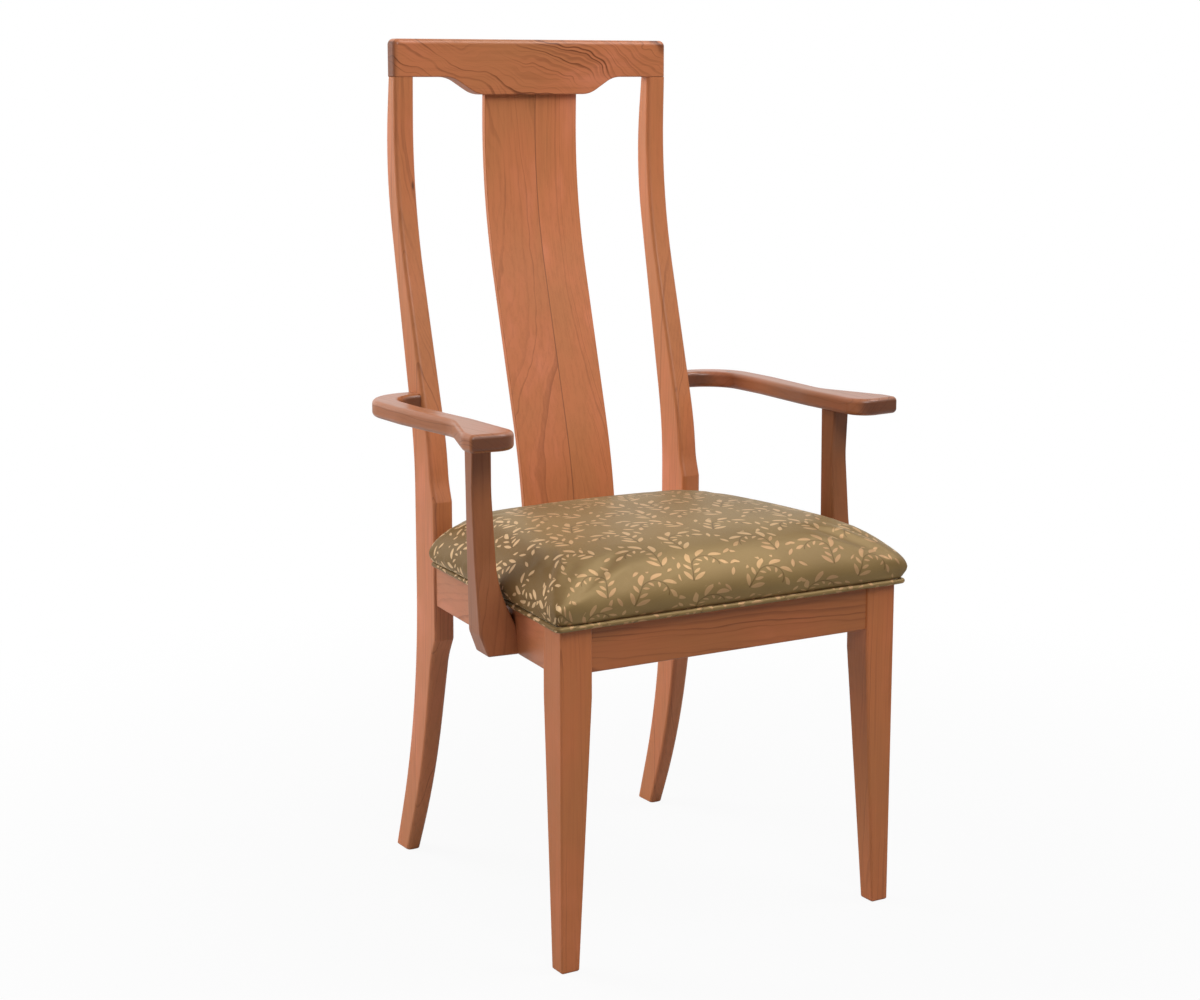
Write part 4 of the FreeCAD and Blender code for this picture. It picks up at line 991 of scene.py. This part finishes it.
def swell(piece):
    start = [vertex.co.copy() for vertex in piece.data.vertices]
    low = [place for place, point in enumerate(start) if point.z < RAIL_TOP + FOOT_HEIGHT]
    piece.vertex_groups.new(name="foot").add(low, 1.0, "REPLACE")
    cloth = piece.modifiers.new("cover", "CLOTH")
    cover = cloth.settings
    cover.quality = COVER_QUALITY
    cover.mass = COVER_MASS
    cover.tension_stiffness = COVER_STIFFNESS
    cover.compression_stiffness = COVER_STIFFNESS
    cover.bending_stiffness = COVER_BENDING
    cover.use_pressure = True
    cover.uniform_pressure_force = PRESSURE
    cover.vertex_group_mass = "foot"
    cover.effector_weights.gravity = 0
    cloth.collision_settings.use_collision = False
    for step in range(1, SWELL_FRAMES + 1):
        bpy.context.scene.frame_set(step)
    take_shape(piece)
    piece.vertex_groups.clear()
    for vertex, was in zip(piece.data.vertices, start):
        move = vertex.co - was
        if move.length > SWELL_CAP:
            vertex.co = was + move.normalized() * SWELL_CAP
    bpy.context.scene.frame_set(1)


swell(cushion)
relax(cushion, rounds=1)
spots = [vertex.co for vertex in cushion.data.vertices]
far = [round(max(spot[axis] for spot in spots), 4) for axis in range(3)]
print("cushion front at", round(min(spot.y for spot in spots), 4), "side, rear and top at", far)

# %% [markdown]
# The cover needs its cloth coordinates. On the flat top they are simply X and Y. Over the roll
# and down the sides the cloth goes on outward while the point goes down, so the drop is added
# along the way out of the seat. Below the widest line the cover is tucked back in, and what it
# goes back is counted as cloth too. The way out turns smoothly from one side to the next, which
# is also how cloth eases round a corner.

# %% Lay the cloth on it
EASE = 0.020
MIDDLE_WEIGHT = 1e-4
WIDEST_REACH, WIDEST_HEIGHT = max(PAD_PROFILE)
TUCK_HEIGHT = 0.012


def way_out(x, y):
    """The direction out of the seat in plan, and how far the point is out of it.

    The direction is a smooth mix of the four sides, which dies away in the middle.
    """
    side, rise = math.cos(SPLAY), math.sin(SPLAY)
    half = HALF_FRONT - (y - FRONT_Y) * math.tan(SPLAY)
    gaps = [(y - FRONT_Y, (0, -1)), (REAR_Y - y, (0, 1)),
            ((half - x) * side, (side, rise)), ((half + x) * side, (-side, rise))]
    weights = [math.exp(-gap / EASE) for gap, _ in gaps]
    ways = (Vector(way) * weight for weight, (_, way) in zip(weights, gaps))
    mixed = sum(ways, Vector((0, 0)))
    return mixed / (sum(weights) + MIDDLE_WEIGHT), -min(gap for gap, _ in gaps)


def cloth_spot(point, top):
    """Where a point of the cover lies on the flat cloth."""
    way, reach = way_out(point.x, point.y)
    tucked = min(1, max(0, (RAIL_TOP + WIDEST_HEIGHT - point.z) / TUCK_HEIGHT))
    return point.xy + way * (top - point.z + 2 * tucked * max(0, WIDEST_REACH - reach))


def lay_cloth(piece):
    layer = piece.data.uv_layers.new(name="cloth")
    top = max(vertex.co.z for vertex in piece.data.vertices)
    spots = [cloth_spot(vertex.co, top) for vertex in piece.data.vertices]
    for loop in piece.data.loops:
        layer.data[loop.index].uv = spots[loop.vertex_index]


lay_cloth(cushion)
print("cloth on", len(cushion.data.loops), "corners of faces")

# %% [markdown]
# The foam rests on a plywood board, and only a skirt of cover goes down past its edge. Cutting the
# board out of the pad would leave a ragged rim, so the points of the underside are lifted onto
# it instead. One round of subdivision then smooths the cover.

# %% Set it on its board
SKIRT = 0.0030
BOARD_GAP = 0.0015


def sit_on_board(piece):
    """Lift the underside of a pad over its board, all but a skirt, and count its points."""
    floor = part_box("seat_board")[1].z + BOARD_GAP
    low = [vertex for vertex in piece.data.vertices if vertex.co.z < floor]
    under = [vertex for vertex in low if way_out(vertex.co.x, vertex.co.y)[1] < -SKIRT]
    for vertex in under:
        vertex.co.z = floor
    return len(under)


print("points lifted onto the board:", sit_on_board(cushion))
finer = cushion.modifiers.new("finer", "SUBSURF")
finer.levels = finer.render_levels = 1
cushion.data.materials.append(seat_cloth)
cushion.data.shade_smooth()
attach(cushion, "root")
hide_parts("seat_cover", "seat_foam")
print("cushion:", len(cushion.data.polygons), "faces before the subdivision")

# %% [markdown]
# ## The welt
#
# Where the cover meets the frame, the upholsterer sews in a cord wrapped in the same cloth, cut
# on the bias so that it bends round corners. On three sides it stands a little proud of the
# frame below, the more so in front of the arms' supports, and at the back it stops short of the
# posts.

# %% Lead the welt round the seat
WELT_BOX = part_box("seat_welt")
WELT_RADIUS = (WELT_BOX[1].z - WELT_BOX[0].z) / 2
WELT_REACH = FRONT_Y - WELT_BOX[0].y - WELT_RADIUS
WELT_PROUD = 0.0035
WELT_CORNER = 0.006
WELT_FLARE = 0.0025
FLARE_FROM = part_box("arm_support_left")[0].y


def welt_path():
    """The middle of the cord, and how long it is up to each point and back to the first."""
    rear_reach = WELT_BOX[1].y - WELT_RADIUS - REAR_Y
    path = plan(WELT_REACH + WELT_PROUD, WELT_CORNER, rear_reach)
    for spot in path:
        flare = WELT_FLARE * max(0, (FLARE_FROM - spot.y) / (FLARE_FROM - FRONT_Y))
        spot += Vector((spot.x / HALF_FRONT, -1)) * flare
    travel = [0.0]
    for here, there in zip(path, path[1:] + path[:1]):
        travel.append(travel[-1] + (there - here).length)
    return path, travel


path, travel = welt_path()
print("welt:", round(travel[-1], 3), "m round the seat")

# %% [markdown]
# A bevelled curve would do for the cord, but its cloth coordinates would stretch. A tube swept
# by hand along the outline keeps them true: along the cord one way, round it the other. The cord
# swells and thins a little, as a hand-wrapped one does.

# %% Sweep the cord
WELT_SIDES = 14
WRAP_SLACK = 0.0003
# Waves along the cord: radians to the metre, phase and size
WAVERS = ((210, 0, 0.00012), (67, 1, 0.00016))


def cord_ring(form, place, heading, along):
    """A ring of points round the cord."""
    outward = Vector((heading.y, -heading.x))
    waver = sum(math.sin(along * wave + phase) * size for wave, phase, size in WAVERS)
    radius = WELT_RADIUS - WRAP_SLACK + waver
    ring = []
    for side in range(WELT_SIDES):
        turn = 2 * math.pi * side / WELT_SIDES
        spot = place + outward * (math.cos(turn) * radius)
        ring.append(form.verts.new((*spot, RAIL_TOP + WELT_RADIUS + math.sin(turn) * radius)))
    return ring


def welt_cord(path, travel):
    form = bmesh.new()
    count = len(path)
    rings = []
    for index, place in enumerate(path):
        heading = (path[(index + 1) % count] - path[index - 1]).normalized()
        rings.append(cord_ring(form, place, heading, travel[index]))
    layer = form.loops.layers.uv.new("cloth")
    for index, here in enumerate(rings):
        there = rings[(index + 1) % count]
        near, far = travel[index], travel[index + 1]
        for side in range(WELT_SIDES):
            beside = (side + 1) % WELT_SIDES
            face = form.faces.new((here[side], there[side], there[beside], here[beside]))
            face.smooth = True
            corners = ((near, side), (far, side), (far, side + 1), (near, side + 1))
            for loop, (along, step) in zip(face.loops, corners):
                loop[layer].uv = (along, step * 2 * math.pi * WELT_RADIUS / WELT_SIDES)
    return new_piece("welt", form)


welt = welt_cord(path, travel)
welt.data.materials.append(welt_cloth)
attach(welt, "root")
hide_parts("seat_welt")
print("cord:", len(welt.data.polygons), "faces")

# %% [markdown]
# Pulled tight, the cord presses the foot of the cushion in, which leaves the dark line above it.
# The cloth could be made to collide with the cord, but that is slow and seldom comes to rest.
# Moving the points that lie in the cord to just outside it draws the same crease.

# %% Press the cushion in
CORD_GAP = 0.0014


def press(soft, cord):
    """Move a soft piece's points that lie in a cord to just outside it, and count them."""
    form = bmesh.new()
    form.from_mesh(cord.data)
    tree = BVHTree.FromBMesh(form)
    form.free()
    moved = 0
    for point in soft.data.vertices:
        spot, normal, _, _ = tree.find_nearest(point.co)
        if (point.co - spot).dot(normal) < CORD_GAP:
            point.co = spot + normal * CORD_GAP
            point.co.z = max(point.co.z, RAIL_TOP + CORD_GAP)
            moved += 1
    return moved


print("cushion points pressed in by the welt:", press(cushion, welt))

# %% [markdown]
# ## The dust cover
#
# Under the board a thin black cloth keeps foam crumbs in. It is stapled flat, so it is nearly a
# plane: rings of the outline, one inside the other, with a slight sag in the middle between the
# rails.

# %% Stretch the dust cover
DUST_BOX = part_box("seat_dust_cover")
DUST_INSET = FRONT_Y - DUST_BOX[0].y
DUST_SAG = 0.004
SAG_SPREAD = 0.8
DUST_CORNER = 0.016
DUST_RINGS = 12
DUST_BLACK = paint(16, 16, 17)
DUST_GREY = paint(52, 52, 54)
DUST_CELLS = 1400.0
SPECK_RISE = (0.3, 0.8)
DUST_ROUGHNESS, DUST_BUMP, DUST_DEPTH = 0.9, 0.4, 0.0004


def dust_cloth():
    material, start, shader = new_material("dust_cloth")
    specks = start.add("ShaderNodeTexCoord", out="Object").noise(DUST_CELLS, 2.0, 0.7)
    plug(shader, Base_Color=specks.step(*SPECK_RISE).mix(DUST_BLACK, DUST_GREY),
         Roughness=DUST_ROUGHNESS, Normal=relief(start, DUST_BUMP, DUST_DEPTH, specks))
    return material


def dust_sheet():
    """The dust cover and its area."""
    rim = plan(DUST_INSET, DUST_CORNER)
    middle = Vector((0, (DUST_BOX[0].y + DUST_BOX[1].y) / 2))
    level = (DUST_BOX[0].z + DUST_BOX[1].z) / 2
    form = bmesh.new()
    rings = []
    for ring in range(1, DUST_RINGS + 1):
        share = ring / DUST_RINGS
        low = level - DUST_SAG * max(0, 1 - (share / SAG_SPREAD) ** 2)
        rings.append([form.verts.new((*middle.lerp(point, share), low)) for point in rim])
    centre = form.verts.new((*middle, level - DUST_SAG))
    for index in range(len(rim)):
        after = (index + 1) % len(rim)
        form.faces.new((centre, rings[0][index], rings[0][after]))
        for inner, outer in zip(rings, rings[1:]):
            form.faces.new((inner[index], outer[index], outer[after], inner[after]))
    for face in form.faces:
        face.smooth = True
    area = sum(face.calc_area() for face in form.faces)
    return new_piece("dust_cover", form), area


dust_cover, dust_area = dust_sheet()
dust_cover.data.materials.append(dust_cloth())
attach(dust_cover, "root")
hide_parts("seat_dust_cover")
print("dust cover:", round(dust_area, 4), "square metres")

# %% [markdown] ## The size How far the dressed chair has grown beyond the joiner's.

# %% Compare the sizes and finish
dressed_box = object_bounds()
grown = (dressed_box[1] - dressed_box[0]) - (cad_box[1] - cad_box[0])
print("grown by", [round(v * 1000, 1) for v in grown], "mm")
